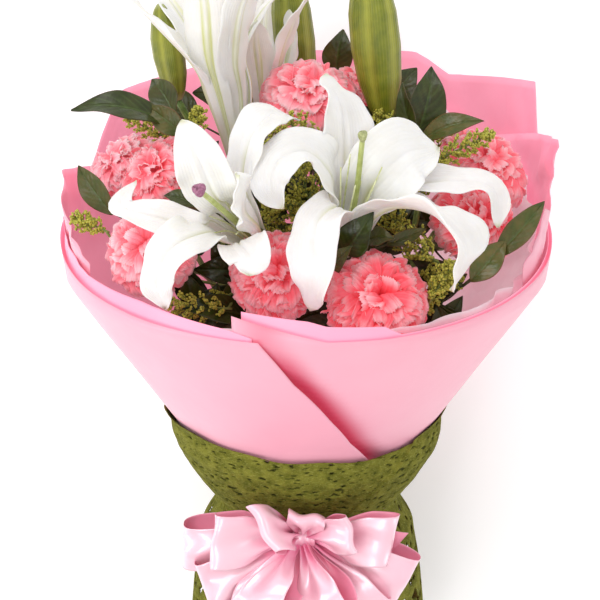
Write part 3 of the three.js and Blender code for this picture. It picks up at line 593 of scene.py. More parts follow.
def tepal_width(v, mouth, blunt):
    """Share of the widest: a narrow claw in the tube, a broad blade, a pointed or a blunt tip."""
    opening = smoothstep(v, mouth, mouth + 0.28)
    claw = np.where(v < mouth, lerp(0.22, 0.52, v / mouth), lerp(0.52, 1, opening))
    shoulder, roundness = (0.72, 0.55) if blunt else (0.64, 0.68)
    tip = np.maximum(1 - (np.maximum(v - shoulder, 0) / (1 - shoulder)) ** 2.2, 0) ** roundness
    return np.maximum(claw * tip, 0.02)


def add_tepal(shape, name, lily, index, draw):
    """One tepal: up the lily's tube, out of its mouth, and along its own points."""
    width, is_petal, points = lily["tepals"][index]
    axis = lily["axis"]
    out = round_axis(axis, lily["roll"] + 60 * index)
    spread = 0 if is_petal else sepal_offset
    line = smooth_line([
        lily["base"] + axis * 4 + out * (throat_radius + spread),
        lily["base"] + axis * lily_tube / 2 + out * ((throat_radius + mouth_radius) / 2 - 1 + spread),
        lily["mouth"] + out * (mouth_radius + spread),
        *points,
    ], 56)
    length = np.linalg.norm(np.diff(line, axis=0), axis=1).sum()
    mouth = lily_tube / length
    tangents, crosswise = carried_along(line, np.cross(axis, out))
    inward = np.cross(tangents, crosswise)
    v, u = shares(len(line), 25)
    twist = math.radians(tepal_twists.get((name, index), 0)) * smoothstep(v, mouth + 0.05, 0.85)
    crosswise, inward = (crosswise * np.cos(twist) + inward * np.sin(twist),
                         inward * np.cos(twist) - crosswise * np.sin(twist))
    tube = spread + lerp(throat_radius, mouth_radius, np.minimum(v / mouth, 1))
    blade = smoothstep(v, mouth * 0.9, mouth + 0.25)
    arc = tube * lerp(1, 3.3, smoothstep(v, mouth, mouth + 0.3))
    blunt = (name, index) in blunt_tepals
    angle = u * width * tepal_width(v, mouth, blunt) / 2 / arc
    wave = (broad_wave if is_petal or blunt else narrow_wave) * (trumpet_share if name in trumpets else 1)
    wave = wave * blade * np.abs(u) ** 2.6 * (1 - 0.5 * smoothstep(v, 0.9, 1))
    phase = draw.uniform(0, 6.3)
    waves = draw.uniform(2.6, 3.6)
    lift = wave * np.sin(2 * np.pi * waves * v + phase + np.where(u < 0, 2.1, 0))
    lift = lift + 0.35 * wave * np.sin(2 * np.pi * waves * 2.3 * v + 2 * phase)
    groove = (1.5 if is_petal else 1.1) * bump(u, 0, 0.07) * (1 - smoothstep(v, 0.75, 0.98))
    shoulders = 0.8 * bump(np.abs(u), 0.2, 0.1) * (1 - smoothstep(v, 0.7, 0.95))
    lift = lift - groove + shoulders
    height = arc * (1 - np.cos(angle)) + lift
    points = (line[:, None] + crosswise[:, None] * (arc * np.sin(angle))[..., None]
              + inward[:, None] * height[..., None])
    green = bump(u, 0, 0.09) * (1 - smoothstep(v, mouth + 0.05, 0.72)) * 0.75
    green = np.maximum(green, (1 - smoothstep(v, 0.0, mouth * 0.9)) * 0.55)
    green = np.maximum(green, smoothstep(v, 0.975, 1.0) * 0.5)
    if name in trumpets:
        rib = bump(np.abs(u), 0.14, 0.07) * (0.55 if is_petal else 1)
        green = np.maximum(green, rib * (1 - smoothstep(v, 0.55, 1)))
    shape.grid(points, marks((u + 1) / 2, v, green, 0.5))


for name, lily in lilies.items():
    for index, (_, is_petal, _) in enumerate(lily["tepals"]):
        node = f"{name}_{'petal' if is_petal else 'sepal'}_{index + 1}"
        shape = Shape()
        add_tepal(shape, name, lily, index, random.Random(node))
        make_piece(f"{node}_tepal", shape, [tepal_finish], [node], thickness=0.9)

# ---- Pistils and filaments -----------------------------------------------------------------
# In each lily a thick green style ends in a swollen three-lobed stigma. Round it stand six thin
# filaments whose anthers the florist has pinched off, as is done to keep pollen off the petals.

style_finish = growing_finish(
    "style", (0.36, 0.42, 0.10, 1), (0.52, 0.58, 0.22, 1), 150, 6, 0.0002, Roughness=0.4,
    Subsurface_Weight=0.1, Subsurface_Radius=(0.003, 0.003, 0.001))
filament_finish = growing_finish(
    "filament", (0.66, 0.70, 0.30, 1), (0.86, 0.88, 0.58, 1), 200, 5, 0.0001, Roughness=0.45)
stigma_finish = growing_finish(
    "stigma", (0.22, 0.06, 0.12, 1), (0.42, 0.17, 0.27, 1), 600, 9, 0.0004, Roughness=0.55)
green_stigma_finish = growing_finish(
    "green_stigma", (0.30, 0.33, 0.12, 1), (0.48, 0.50, 0.24, 1), 600, 9, 0.0004, Roughness=0.55)

# levels of the stigma: height over the style's end, radius, and how much of the lobes shows
stigma_levels = [(-4, 2.0, 0), (-2, 3.2, 0.5), (0.5, 4.6, 1), (2.6, 5.0, 1), (4.6, 4.4, 1), (5.8, 3.0, 1),
                 (5.9, 0.9, 1)]
for name, lily in lilies.items():
    draw = random.Random(name)
    axis = lily["axis"]
    foot = lily["base"] + axis * 8
    tip = lily["mouth"] + axis * lily["pistil"] + np.array([-4, 0, 3])
    middle = lerp(foot, tip, 0.5) + np.array([3, 2, -2])
    line = smooth_line([foot, middle, tip], 40)
    shape = Shape()
    shape.tube(line, lerp(2.6, 2.0, np.linspace(0, 1, 41)), 10)
    tangent = unit(line[-1] - line[-3])
    turn, ring = circle(*sides_of(tangent, (0.2, 0.1, 1)), 24)
    lobes = 1 + 0.13 * np.cos(3 * turn)
    swollen = 1 if name == "lily_a" else 0.7
    knob = np.array([tip + tangent * lift + ring * (radius * swollen * (lobes[:, None] ** share))
                     for lift, radius, share in stigma_levels])
    shape.grid(knob, marks(turn / (2 * np.pi), 0.5, 0, 0.5), kind=1, ring=True, capped=True)
    for k in range(6):
        out = round_axis(axis, 60 * k + 30 + draw.uniform(-8, 8))
        reach = draw.uniform(0.42, 0.7) * lily["pistil"] * (0.5 if name == "lily_a" else 1)
        thread = smooth_line([
            lily["base"] + axis * 10 + out * 4.2,
            lily["mouth"] + out * 8,
            lily["mouth"] + axis * reach + out * draw.uniform(12, 18),
        ], 20)
        shape.tube(thread, lerp(0.95, 0.5, np.linspace(0, 1, 21)), 6, kind=2)
    finishes = [style_finish, stigma_finish if name == "lily_a" else green_stigma_finish, filament_finish]
    make_piece(f"{name}_style", shape, finishes, [f"{name}_pistil"])

# ---- Lily buds -----------------------------------------------------------------------------
# Three closed green buds. Their six tepals lie edge to edge round a spindle, each with a raised
# midrib, and the seams between them are a paler green.

bud_finish, tree, shader, (place, across, along, tint, chance) = new_finish(
    "lily_bud", Roughness=0.38, Subsurface_Weight=0.12, Subsurface_Radius=(0.003, 0.004, 0.001))
skin = mottled(tree, place, 90, (0.125, 0.155, 0.006, 1), (0.215, 0.235, 0.012, 1))
seams = ridges(tree, across, 6, 3)
threads = ridges(tree, across, 54, 1.5)
striped = blend_colours(tree, calculate(tree, "MULTIPLY", seams, 0.5), skin.outputs["Colour"],
                        (0.46, 0.46, 0.06, 1))
striped = blend_colours(tree, calculate(tree, "MULTIPLY", threads, 0.13), striped, (0.50, 0.48, 0.09, 1))
paint(tree, shader, blend_colours(tree, tint, striped, (0.66, 0.68, 0.36, 1)))
raise_surface(tree, shader, threads, 0.0002)

# how thick a bud is along its length, as a share of its radius
bud_outline = ([0, 0.03, 0.1, 0.25, 0.45, 0.65, 0.82, 0.93, 0.985, 1],
               [0.26, 0.4, 0.62, 0.88, 1, 0.95, 0.72, 0.44, 0.2, 0.04])
for name, (base, tip, radius) in buds.items():
    base, tip = vec(base), vec(tip)
    v = np.linspace(0, 1, 44)
    reach = np.interp(v, *bud_outline)
    line = lerp(base, tip, v[:, None])
    axis = unit(tip - base)
    aside, upward = sides_of(axis, (0, 1, 0))
    turn = np.linspace(0, 2 * np.pi, 72, endpoint=False)
    bulge = 1 + 0.05 * np.cos(6 * turn + math.pi) + 0.07 * np.cos(3 * turn + 0.6)
    bulge = bulge - 0.05 * bump(np.mod(turn * 3 / math.pi, 1), 0.5, 0.12)
    twist = turn[None, :] + 0.25 * v[:, None]
    ring = aside * np.cos(twist)[..., None] + upward * np.sin(twist)[..., None]
    points = line[:, None] + ring * (reach[:, None] * radius * bulge[None, :])[..., None]
    shape = Shape()
    pale = np.clip(smoothstep(v, 0.93, 1) * 0.7 + (1 - smoothstep(v, 0, 0.1)) * 0.4, 0, 1)
    shape.grid(points, marks(turn / (2 * np.pi), v[:, None], pale[:, None], 0.5), ring=True, capped=True)
    make_piece(f"{name}_spindle", shape, [bud_finish], [name])

# ---- Shrub foliage -------------------------------------------------------------------------
# Four woody twigs of evergreen filler. Their leathery leaves are dark and glossy above, folded along
# a pale midrib, with side veins pressed into the blade and edges that wave and turn brown with age.

twig_radius = 1.8
petiole_radius = 1.3
vein_depth = 0.42
# Place in the tie, the points that the twig passes, and its leaves as (foot, tip, width, the way the
# upper face looks, how far the middle bows, how aged it is, points that its stalk passes, if any).
branches = {
    "foliage_left": ((2, -90), [(-52, -22, 175), (-70, -26, 240), (-74, -22, 296)], [
        ((-108, -22, 315), (-179, -45, 333), 27, (0, -0.6, 0.8), 9, 0.1),
        ((-104, 4, 314), (-124, 25, 340), 24, (-0.2, -1, 0.1), 2, 0.3),
        ((-96, -28, 308), (-124, -24, 330), 20, (-0.2, -0.9, 0.4), 4, 0.6),
        ((-150, -50, 250), (-178, -30, 284), 20, (-0.4, -0.7, 0.6), 3, 0.5, (-112, -47, 232)),
        ((-84, -90, 268), (-108, -86, 276), 14, (0, -0.7, 0.7), 2, 0.2),
    ]),
    "foliage_back": ((2, -150), [(-4, 66, 180), (4, 104, 250), (14, 128, 290)], [
        ((24, 138, 316), (30, 140, 356), 26, (0.1, -1, 0.2), 4, 0.3),
        ((64, 140, 286), (92, 150, 322), 28, (0.1, -0.9, 0.4), 5, 0.2),
        ((-40, 136, 286), (-70, 152, 322), 28, (0, -0.9, 0.4), 5, 0.2),
        ((0, 150, 290), (-14, 172, 326), 28, (0, -0.9, 0.5), 4, 0.3),
        ((-90, 104, 284), (-126, 118, 308), 26, (-0.2, -0.8, 0.5), 4, 0.2, (-40, 108, 258)),
    ]),
    "foliage_right": ((2, 150), [(46, 18, 175), (76, 22, 240), (84, 18, 284)], [
        ((84, 26, 287), (99, 42, 346), 32, (0.25, -1, 0.25), 5, 0.15),
        ((82, 6, 292), (72, 2, 341), 17, (-0.5, -0.9, 0.1), 4, 0.2),
        ((88, -6, 298), (134, -22, 318), 20, (-0.1, -0.75, 0.65), 6, 0.7),
        ((140, -92, 228), (178, -74, 268), 20, (-0.2, -0.9, 0.4), 4, 0.6, (54, -30, 162), (108, -80, 196)),
        ((122, -100, 212), (148, -92, 242), 22, (-0.1, -0.9, 0.4), 3, 0.9, (54, -34, 162), (100, -80, 190)),
    ]),
    "foliage_front": ((1, 30), [(6, -58, 158), (8, -80, 204), (16, -92, 222)], [
        ((24, -112, 238), (46, -124, 272), 26, (-0.2, -0.9, 0.3), 5, 0.0),
        ((14, -122, 226), (30, -136, 250), 16, (-0.3, -0.9, 0.4), 3, 0.4),
        ((44, -106, 246), (62, -118, 252), 16, (0.1, -0.8, 0.6), 2, 0.4),
        ((58, -98, 240), (88, -94, 252), 11, (0, -0.9, 0.4), 2, 0.5),
        ((-46, -98, 184), (-92, -130, 202), 26, (0.1, -0.7, 0.7), 5, 0.0, (-14, -78, 164)),
    ]),
}

leaf_finish, tree, shader, (place, across, along, tint, chance) = new_finish(
    "leaf", Roughness=0.34, Coat_Weight=0.2, Coat_Roughness=0.16, Specular_IOR_Level=0.3)
fresh = mottled(tree, place, 70, (0.010, 0.019, 0.002, 1), (0.031, 0.048, 0.004, 1))
aged = mottled(tree, place, 110, (0.07, 0.085, 0.012, 1), (0.16, 0.115, 0.03, 1))
leaf_colour = blend_colours(tree, chance, fresh.outputs["Colour"], aged.outputs["Colour"])
leaf_colour = blend_colours(tree, tint, leaf_colour, (0.085, 0.135, 0.03, 1))
from_middle = calculate(tree, "ABSOLUTE", calculate(tree, "MULTIPLY_ADD", across, 2.0, -1.0))
brown_rim = add_node(tree, "ShaderNodeMapRange", {0: from_middle, 1: 0.9, 2: 1.0}).outputs[0]
brown_share = calculate(tree, "MULTIPLY", brown_rim, chance)
leaf_colour = blend_colours(tree, brown_share, leaf_colour, (0.16, 0.05, 0.015, 1))
paint(tree, shader, leaf_colour)
cells = add_node(tree, "ShaderNodeTexVoronoi", {"Vector": place, "Scale": 420.0}).outputs["Distance"]
raise_surface(tree, shader, cells, 0.00018)
twig_finish = growing_finish(
    "twig", (0.05, 0.055, 0.02, 1), (0.12, 0.12, 0.045, 1), 140, 7, 0.0003, Roughness=0.6)


def add_leaf(shape, leaf, draw):
    """A leaf folded along its midrib, from its row in the table."""
    foot, tip, width, facing, bow, age = leaf[:6]
    foot, tip = vec(foot), vec(tip)
    along = unit(tip - foot)
    up = vec(facing)
    up = unit(up - along * np.dot(up, along))
    aside = np.cross(along, up)
    v, u = shares(34, 21)
    outline = np.maximum(np.sin(np.pi * np.clip(v * 0.985 + 0.008, 0, 1) ** 0.88) ** 0.92, 0.03)
    half = width * outline / 2
    fold = draw.uniform(0.2, 0.34)
    vein_run = 7.5 * v - 2.2 * np.abs(u) ** 1.2
    veins = vein_depth * bump(np.mod(vein_run, 1), 0.5, 0.13) * (1 - np.abs(u) ** 4)
    wave = np.sin(2 * np.pi * draw.uniform(1.6, 2.6) * v + draw.uniform(0, 6) + u)
    wave = np.abs(u) ** 2.5 * width * 0.035 * wave
    midrib = 0.9 * bump(u, 0, 0.06)
    droop = -width * 0.12 * smoothstep(v, 0.75, 1)
    lift = bow * 4 * v * (1 - v) + fold * half * np.abs(u) + wave - veins - midrib + droop
    curl = width * draw.uniform(-0.12, 0.12) * np.sin(np.pi * v)
    points = lerp(foot, tip, v[..., None]) + aside * (half * u + curl)[..., None] + up * lift[..., None]
    pale = 0.85 * bump(u, 0, 0.05) * (1 - 0.5 * v) + 0.35 * veins / vein_depth
    shape.grid(points, marks((u + 1) / 2, v, np.clip(pale, 0, 1), age))


def nearest(points, target):
    return min(points, key=lambda point: np.linalg.norm(np.subtract(point, target)))


# Each branch also carries small inner leaves, which fill the dark space behind the flowers: the left
# and right end of its share of the width, and their number.
inner_leaves = {"foliage_left": (-122, -20, 21), "foliage_back": (-75, 75, 26),
                "foliage_right": (20, 125, 26), "foliage_front": (-105, 62, 30)}
flower_gap = 11
placing_tries = 60


def inner_place(branch, draw):
    """A point on the sloping layer behind the flower heads, in that branch's share of the width."""
    left, right, _ = inner_leaves[branch]
    rises = {"foliage_back": (0.45, 1), "foliage_front": (0, 0.35), "foliage_right": (0, 0.55)}
    for _ in range(placing_tries):
        rise = draw.uniform(*rises.get(branch, (0, 0.7)))
        point = np.array([draw.uniform(left, right), lerp(-104, 66, rise), lerp(172, 322, rise)])
        gaps = [np.linalg.norm(point - np.array(centre)) - carnation_radius * size
                for centre, _, size, _, _ in carnations]
        if min(gaps) > flower_gap:
            break
    return point


for name, (slot_in_tie, twig, leaves) in branches.items():
    draw = random.Random(name)
    blades = Shape()
    wood = Shape()
    for _ in range(inner_leaves[name][2]):
        middle = inner_place(name, draw)
        spin = draw.uniform(0, 2 * math.pi)
        reach = draw.uniform(17, 27)
        run = np.array([math.cos(spin), draw.uniform(-0.3, 0.3), abs(math.sin(spin))]) * reach
        facing = (draw.uniform(-0.5, 0.5), -1, draw.uniform(-0.2, 0.6))
        foot = middle - run
        width, bow, age = draw.uniform(17, 26), draw.uniform(1, 5), draw.uniform(0, 0.35)
        add_leaf(blades, (foot, middle + run, width, facing, bow, age), draw)
        start = nearest(twig, foot)
        bend = lerp(vec(start), foot, 0.6) + np.array([0, 6, -8])
        stalk = smooth_line([start, bend, foot + run * 0.1], 14)
        wood.tube(stalk, lerp(petiole_radius, 0.7, np.linspace(0, 1, 15)), 6)
    line = smooth_line(stem_line(tie_place(*slot_in_tie), *twig), 60)
    wood.tube(line, lerp(twig_radius, twig_radius * 0.7, np.linspace(0, 1, 61)), 8)
    for leaf in leaves:
        add_leaf(blades, leaf, draw)
        end = lerp(vec(leaf[0]), vec(leaf[1]), 0.06)
        route = [*leaf[6:], end]
        stalk = smooth_line([nearest(twig, route[0]), *route], 20)
        wood.tube(stalk, lerp(petiole_radius, 0.8, np.linspace(0, 1, 21)), 7)
    make_piece(f"{name}_leaves", blades, [leaf_finish], [name], thickness=0.5)
    make_piece(f"{name}_twigs", wood, [twig_finish])

# ---- Goldenrod -----------------------------------------------------------------------------
# Three stems of goldenrod fill the gaps. Each plume is a thin stalk with short arching side shoots,
# set close with tiny yellow-green flower heads.

spray_stem_radius = 1.5
# place in the tie, the points that the stem passes, and its plumes as (foot, tip, radius, points passed)
sprays = {
    "goldenrod_left": ((2, -30), [(-36, -46, 150), (-52, -80, 200)], [
        ((-154, -70, 243), (-178, -60, 251), 7, (-72, -62, 175), (-124, -62, 198)),
        ((-60, -116, 196), (-104, -132, 204), 9),
        ((-66, -84, 262), (-74, -64, 296), 8),
        ((-58, -92, 200), (-84, -104, 188), 10),
        ((-92, -74, 206), (-130, -76, 214), 8),
        ((-92, -22, 292), (-84, -20, 326), 7),
        ((-100, 2, 292), (-142, 10, 312), 7),
    ]),
    "goldenrod_middle": ((0, 0), [(-2, -22, 150), (-4, -46, 236)], [
        ((6, -28, 278), (-14, -32, 320), 15),
        ((0, -62, 262), (-32, -68, 262), 12),
        ((18, -98, 246), (-8, -90, 256), 11),
        ((20, -14, 282), (30, 0, 316), 12),
        ((-8, -58, 238), (-36, -66, 236), 15),
        ((2, -50, 252), (-6, -52, 290), 14),
        ((14, -60, 240), (36, -66, 236), 12),
        ((-26, -40, 268), (-40, -34, 300), 11),
        ((-20, -84, 212), (-52, -92, 200), 10),
        ((-10, 10, 284), (-30, 20, 312), 10),
    ]),
    "goldenrod_right": ((2, 60), [(44, -52, 160), (76, -70, 222)], [
        ((96, -92, 226), (70, -88, 246), 12),
        ((92, -36, 286), (140, -34, 310), 8),
        ((90, -126, 205), (106, -122, 232), 8),
        ((84, -44, 262), (92, -40, 280), 10),
        ((70, -62, 236), (60, -58, 262), 12),
        ((84, -84, 214), (112, -96, 214), 11),
        ((74, -92, 206), (92, -108, 196), 9),
        ((96, 10, 268), (116, 26, 300), 9),
        ((66, 14, 280), (58, 30, 312), 9),
    ]),
}

floret_finish, tree, shader, (place, across, along, tint, chance) = new_finish(
    "goldenrod_floret", Roughness=0.7, Subsurface_Weight=0.15, Subsurface_Radius=(0.002, 0.002, 0.0005))
young = mottled(tree, place, 500, (0.21, 0.225, 0.022, 1), (0.52, 0.50, 0.055, 1))
paint(tree, shader, blend_colours(tree, chance, young.outputs["Colour"], (0.54, 0.50, 0.085, 1)))
raise_surface(tree, shader, young.outputs["Height"], 0.0003)
spray_finish = growing_finish(
    "goldenrod_stem", (0.12, 0.17, 0.03, 1), (0.24, 0.29, 0.07, 1), 200, 6, 0.0002, Roughness=0.6)


# levels of a flower head: height, radius, and whether its rim is starred, for a size of 1
floret_levels = ((0, 0.25, 0), (0.7, 0.62, 0), (1.5, 0.72, 1), (2.1, 0.55, 1), (2.2, 0.12, 0))


def add_floret(shape, foot, direction, size, draw):
    """A tiny flower head: a green cup that opens into a few yellow points."""
    _, ring = circle(*sides_of(direction, (0.31, 0.52, 0.8)), 8)
    star = np.where(np.arange(8) % 2 == 0, 1.25, 0.75)[:, None]
    cup = np.array([foot + direction * size * lift + ring * size * radius * (star if starred else 1)
                    for lift, radius, starred in floret_levels])
    shade = np.array([0.0, 0.1, 0.6, 1.0, 0.9])[:, None] * draw.uniform(0.3, 1)
    shape.grid(cup, marks(0.5, 0.5, 0, shade), ring=True, capped=True)


# how wide a plume is along its length, as a share of its radius
plume_outline = [0, 0.35, 0.75, 1], [0.7, 1.15, 0.9, 0.3]


def add_plume(florets, wood, foot, tip, radius, draw):
    """A thin stalk, its side shoots, and the flower heads on them."""
    foot, tip = vec(foot), vec(tip)
    axis = unit(tip - foot)
    aside, upward = sides_of(axis, (0.15, 0.4, 0.9))
    wood.tube(smooth_line([foot - axis * 3, tip], 8), np.linspace(1.0, 0.5, 9), 6)
    length = np.linalg.norm(tip - foot)
    shoots = int(9 + length / 3)
    for k in range(shoots):
        share = (k + 0.5) / shoots
        turn = k * golden_angle
        out = aside * math.cos(turn) + upward * math.sin(turn)
        wide = radius * np.interp(share, *plume_outline)
        start = lerp(foot, tip, share)
        shoot = smooth_line([start, start + out * wide * 0.6 + axis * wide * 0.35,
                             start + out * wide + axis * wide * 0.9], 12)
        wood.tube(shoot, np.linspace(0.5, 0.3, 13), 5)
        for step in range(2, 13):
            for side in range(2):
                spin = draw.uniform(0, 2 * math.pi)
                lean = aside * math.cos(spin) + upward * math.sin(spin)
                toward = unit(lean + axis * draw.uniform(0.2, 0.9) + out * 0.5)
                add_floret(florets, shoot[step] + toward * 0.3, toward, draw.uniform(0.75, 1.35), draw)


for name, (slot_in_tie, stem, plumes) in sprays.items():
    draw = random.Random(name)
    florets = Shape()
    wood = Shape()
    wood.tube(smooth_line(stem_line(tie_place(*slot_in_tie), *stem), 50), spray_stem_radius, 8)
    for foot, tip, radius, *via in plumes:
        route = [*via, foot]
        wood.tube(smooth_line([nearest(stem, route[0]), *route], 20), spray_stem_radius * 0.75, 7)
        add_plume(florets, wood, foot, tip, radius, draw)
    make_piece(f"{name}_florets", florets, [floret_finish], [name])
    make_piece(f"{name}_stem", wood, [spray_finish])

# ---- Twine tie -----------------------------------------------------------------------------
# Twisted natural twine is wound four times round the stems, where they run side by side, and pulled
# tight. It holds the whole bouquet, and the wrap goes round it.

twine_radius = 1.8
tie_turns = 4
tie_half_height = 3.4
twine_finish, tree, shader, (place, across, along, tint, chance) = new_finish("twine", Roughness=0.85)
fibre = mottled(tree, place, 900, (0.26, 0.17, 0.07, 1), (0.50, 0.38, 0.20, 1))
paint(tree, shader, fibre.outputs["Colour"])
lay_of_twine = calculate(tree, "MULTIPLY_ADD", along, 260.0, across)
strands = ridges(tree, lay_of_twine, 1, 1)
raise_surface(tree, shader, calculate(tree, "MULTIPLY_ADD", fibre.outputs["Height"], 0.5, strands), 0.0006)
turn = np.linspace(0, 2 * np.pi * tie_turns, 64 * tie_turns + 1)
tie_radius = 2 * stem_pitch + carnation_stem_radius + twine_radius


def round_the_stems(radius, angle, z):
    """Points at a radius from the bouquet's axis; the angle turns from the front to the right."""
    return np.stack(np.broadcast_arrays(radius * np.sin(angle), -radius * np.cos(angle), z), axis=-1)


winding = round_the_stems(tie_radius, turn, np.linspace(-tie_half_height, tie_half_height, len(turn)))
shape = Shape()
shape.tube(winding, twine_radius * 0.55, 10)
make_piece("stem_tie_twine", shape, [twine_finish], ["stem_tie"])

# ---- Tissue lining -------------------------------------------------------------------------
# A loose inner lining of thin frosted tissue. It stands up in soft crumples between the flowers and
# the paper, and its upper edge runs higher at the back right.

paper_thickness = 0.9
layer_pitch = 2.8
waist_radius = 70
band_top = 73
band_top_radius = 111
rim_radius = 195
hem_radius = 84
side_flare = 0.1
back_flare = 0.3


def paper_radius(degrees, z):
    """Outside of the wrap round its axis; degrees turn from the front to the right."""
    hem = lerp(waist_radius, hem_radius, smoothstep(-z, 0, hem_drop))
    band = lerp(waist_radius, band_top_radius, 1 - np.clip(1 - z / band_top, 0, 1) ** 1.5)
    cone = lerp(band_top_radius, rim_radius, (z - band_top) / (rim_height - band_top))
    back_share = ((1 - np.cos(np.radians(degrees))) / 2) ** 2
    flare = rim_radius + (z - rim_height) * lerp(side_flare, back_flare, back_share)
    return np.where(z <= 0, hem, np.where(z <= band_top, band, np.where(z <= rim_height, cone, flare)))


def wrap_points(degrees, z, inset):
    """Points on the wrap, inset from its outermost face and pressed flat where the bouquet lies."""
    radius = paper_radius(degrees, z) - inset
    rest_y = rest_at_hem + (z + hem_drop) * rest_slope - inset / math.cos(tilt)
    phi = np.radians(degrees)
    y = -radius * np.cos(phi)
    y = np.where(y > rest_y - 6, np.minimum(y, rest_y), y)
    return np.stack([radius * np.sin(phi), np.minimum(y, rest_y), z + 0 * phi], axis=-1)


def along_corners(corners, x):
    """The height of a line of straight pieces between corners."""
    return np.interp(x, [corner[0] for corner in corners], [corner[1] for corner in corners])


def waviness(points, scale, seed):
    """Soft random swell at each point, from -1 to 1; scale is its length in millimetres."""
    flat = points.reshape(-1, 3) / scale
    swell = [noise.noise(Vector(point) + Vector((seed, 2 * seed, 0))) for point in flat.tolist()]
    return np.array(swell).reshape(points.shape[:2])


def sheet_grid(start, end, rim, inset, rows=70, columns=110, foot=6 - hem_drop):
    """A sheet of the wrap: start and end give its upright edges in degrees, rim its upper edge."""
    v, u = shares(rows, columns, 0)
    z = foot + (rim_height - foot) * v + 0 * u
    for _ in range(8):
        degrees = lerp(start(z), end(z), u)
        z = lerp(foot, rim(degrees), v)
    return wrap_points(degrees, z, inset), degrees, z, u, v


def outward_of(degrees):
    return round_the_stems(1, np.radians(degrees), 0)


# The tissue glows faintly pink: painted light that brightens it.
tissue_finish, tree, shader, (place, across, along, tint, chance) = new_finish(
    "tissue", Roughness=0.35, Alpha=0.62, Emission_Color=(1, 0.85, 0.9, 1), Emission_Strength=0.12)
frost = mottled(tree, place, 30, (0.95, 0.74, 0.81, 1), (0.97, 0.89, 0.92, 1))
paint(tree, shader, frost.outputs["Colour"])
cells = add_node(tree, "ShaderNodeTexVoronoi", {"Vector": place, "Scale": 38.0}, feature="DISTANCE_TO_EDGE")
raise_surface(tree, shader, cells.outputs["Distance"], 0.002)

tissue_rim = [(-60, 204), (-10, 196), (30, 198), (62, 206), (100, 240), (121, 266), (133, 250), (145, 287),
              (165, 270)]
tissue_inset = paper_thickness / 2 + 5 * layer_pitch + 1.5
fold_depth, crease_depth = 15, 1.6
points, degrees, z, u, v = sheet_grid(
    lambda z: -60, lambda z: 165, lambda degrees: along_corners(tissue_rim, degrees), tissue_inset, 70, 150)
stand = smoothstep(z, band_top, rim_height)
folds = np.abs(waviness(points, 34, 3)) * fold_depth + waviness(points, 12, 5) * crease_depth
points = points - outward_of(degrees) * (stand * folds)[..., None]
shape = Shape()
shape.grid(points, marks(u, v, 0, 0.5))
tissue = make_piece("tissue_lining_sheet", shape, [tissue_finish], ["tissue_lining"],
                    thickness=0.15)

# ---- Paper wrap ----------------------------------------------------------------------------
# Five overlapping sheets of satin wrapping film, pale pink outside and rose inside. The back sheet lies
# on the table, two front panels cross with their rims folded double, and side sheets stand in points.


def film_finish(name, shade, light, **values):
    """Satin film with faint creases; its tint is painted shade, a deep rose in the fold beside the seam."""
    finish, tree, shader, (place, across, along, tint, chance) = new_finish(name, **values)
    film = mottled(tree, place, 9, shade, light)
    paint(tree, shader, blend_colours(tree, tint, film.outputs["Colour"], (0.62, 0.035, 0.10, 1)))
    creases = add_node(tree, "ShaderNodeTexNoise", {"Vector": place, "Scale": 24.0, "Detail": 3.0})
    raise_surface(tree, shader, creases.outputs[0], 0.0012)
    return finish


film_outside = film_finish("film_outside", (0.86, 0.36, 0.46, 1), (0.875, 0.40, 0.50, 1),
                           Roughness=0.42, Sheen_Weight=0.15)
# The inside of the film glows faintly rose: painted light, also on the turned-in rim strips.
film_inside = film_finish("film_inside", (0.93, 0.29, 0.42, 1), (0.945, 0.33, 0.46, 1), Roughness=0.4,
                          Emission_Color=(0.95, 0.42, 0.56, 1), Emission_Strength=0.22)


def kept_on_table(points, inset):
    """Nothing of the wrap goes below the plane that it lies on."""
    rest_y = rest_at_hem + (points[..., 2] + hem_drop) * rest_slope - inset
    points[..., 1] = np.minimum(points[..., 1], rest_y)
    return points


def front_rim(degrees):
    return rim_height + 17 * (degrees / 70) ** 2


def right_panel_rim(degrees):
    return np.maximum(front_rim(degrees), along_corners([(-17, 212), (4, 194)], degrees))


def right_panel_start(z):
    return along_corners([(-hem_drop, -34), (band_top, -26), (rim_height, -17)], z)


def back_start(z):
    return along_corners([(band_top, 98), (rim_height, 104), (317, 121)], z)


def back_end(z):
    return along_corners([(band_top, 262), (rim_height, 256), (302, 226)], z)


def seam_degrees(z):
    """Where the free edge of the left front panel crosses the right one."""
    corners = [(-hem_drop, 34), (60, 29), (86, 16), (113, 7), (153, -4), (rim_height, -11)]
    return along_corners(corners, z)


back_rim = [(98, 240), (121, 318), (147, 308), (156, 323), (180, 321), (200, 313), (226, 302), (262, 228)]
left_rim = [(-150, 236), (-118, 252), (-96, 267), (-84, 257), (-62, 222)]
right_rim = [(62, 222), (78, 252), (83, 244), (91, 296), (112, 284), (150, 252)]
film_thickness = 0.4
valley_depth = 6.5
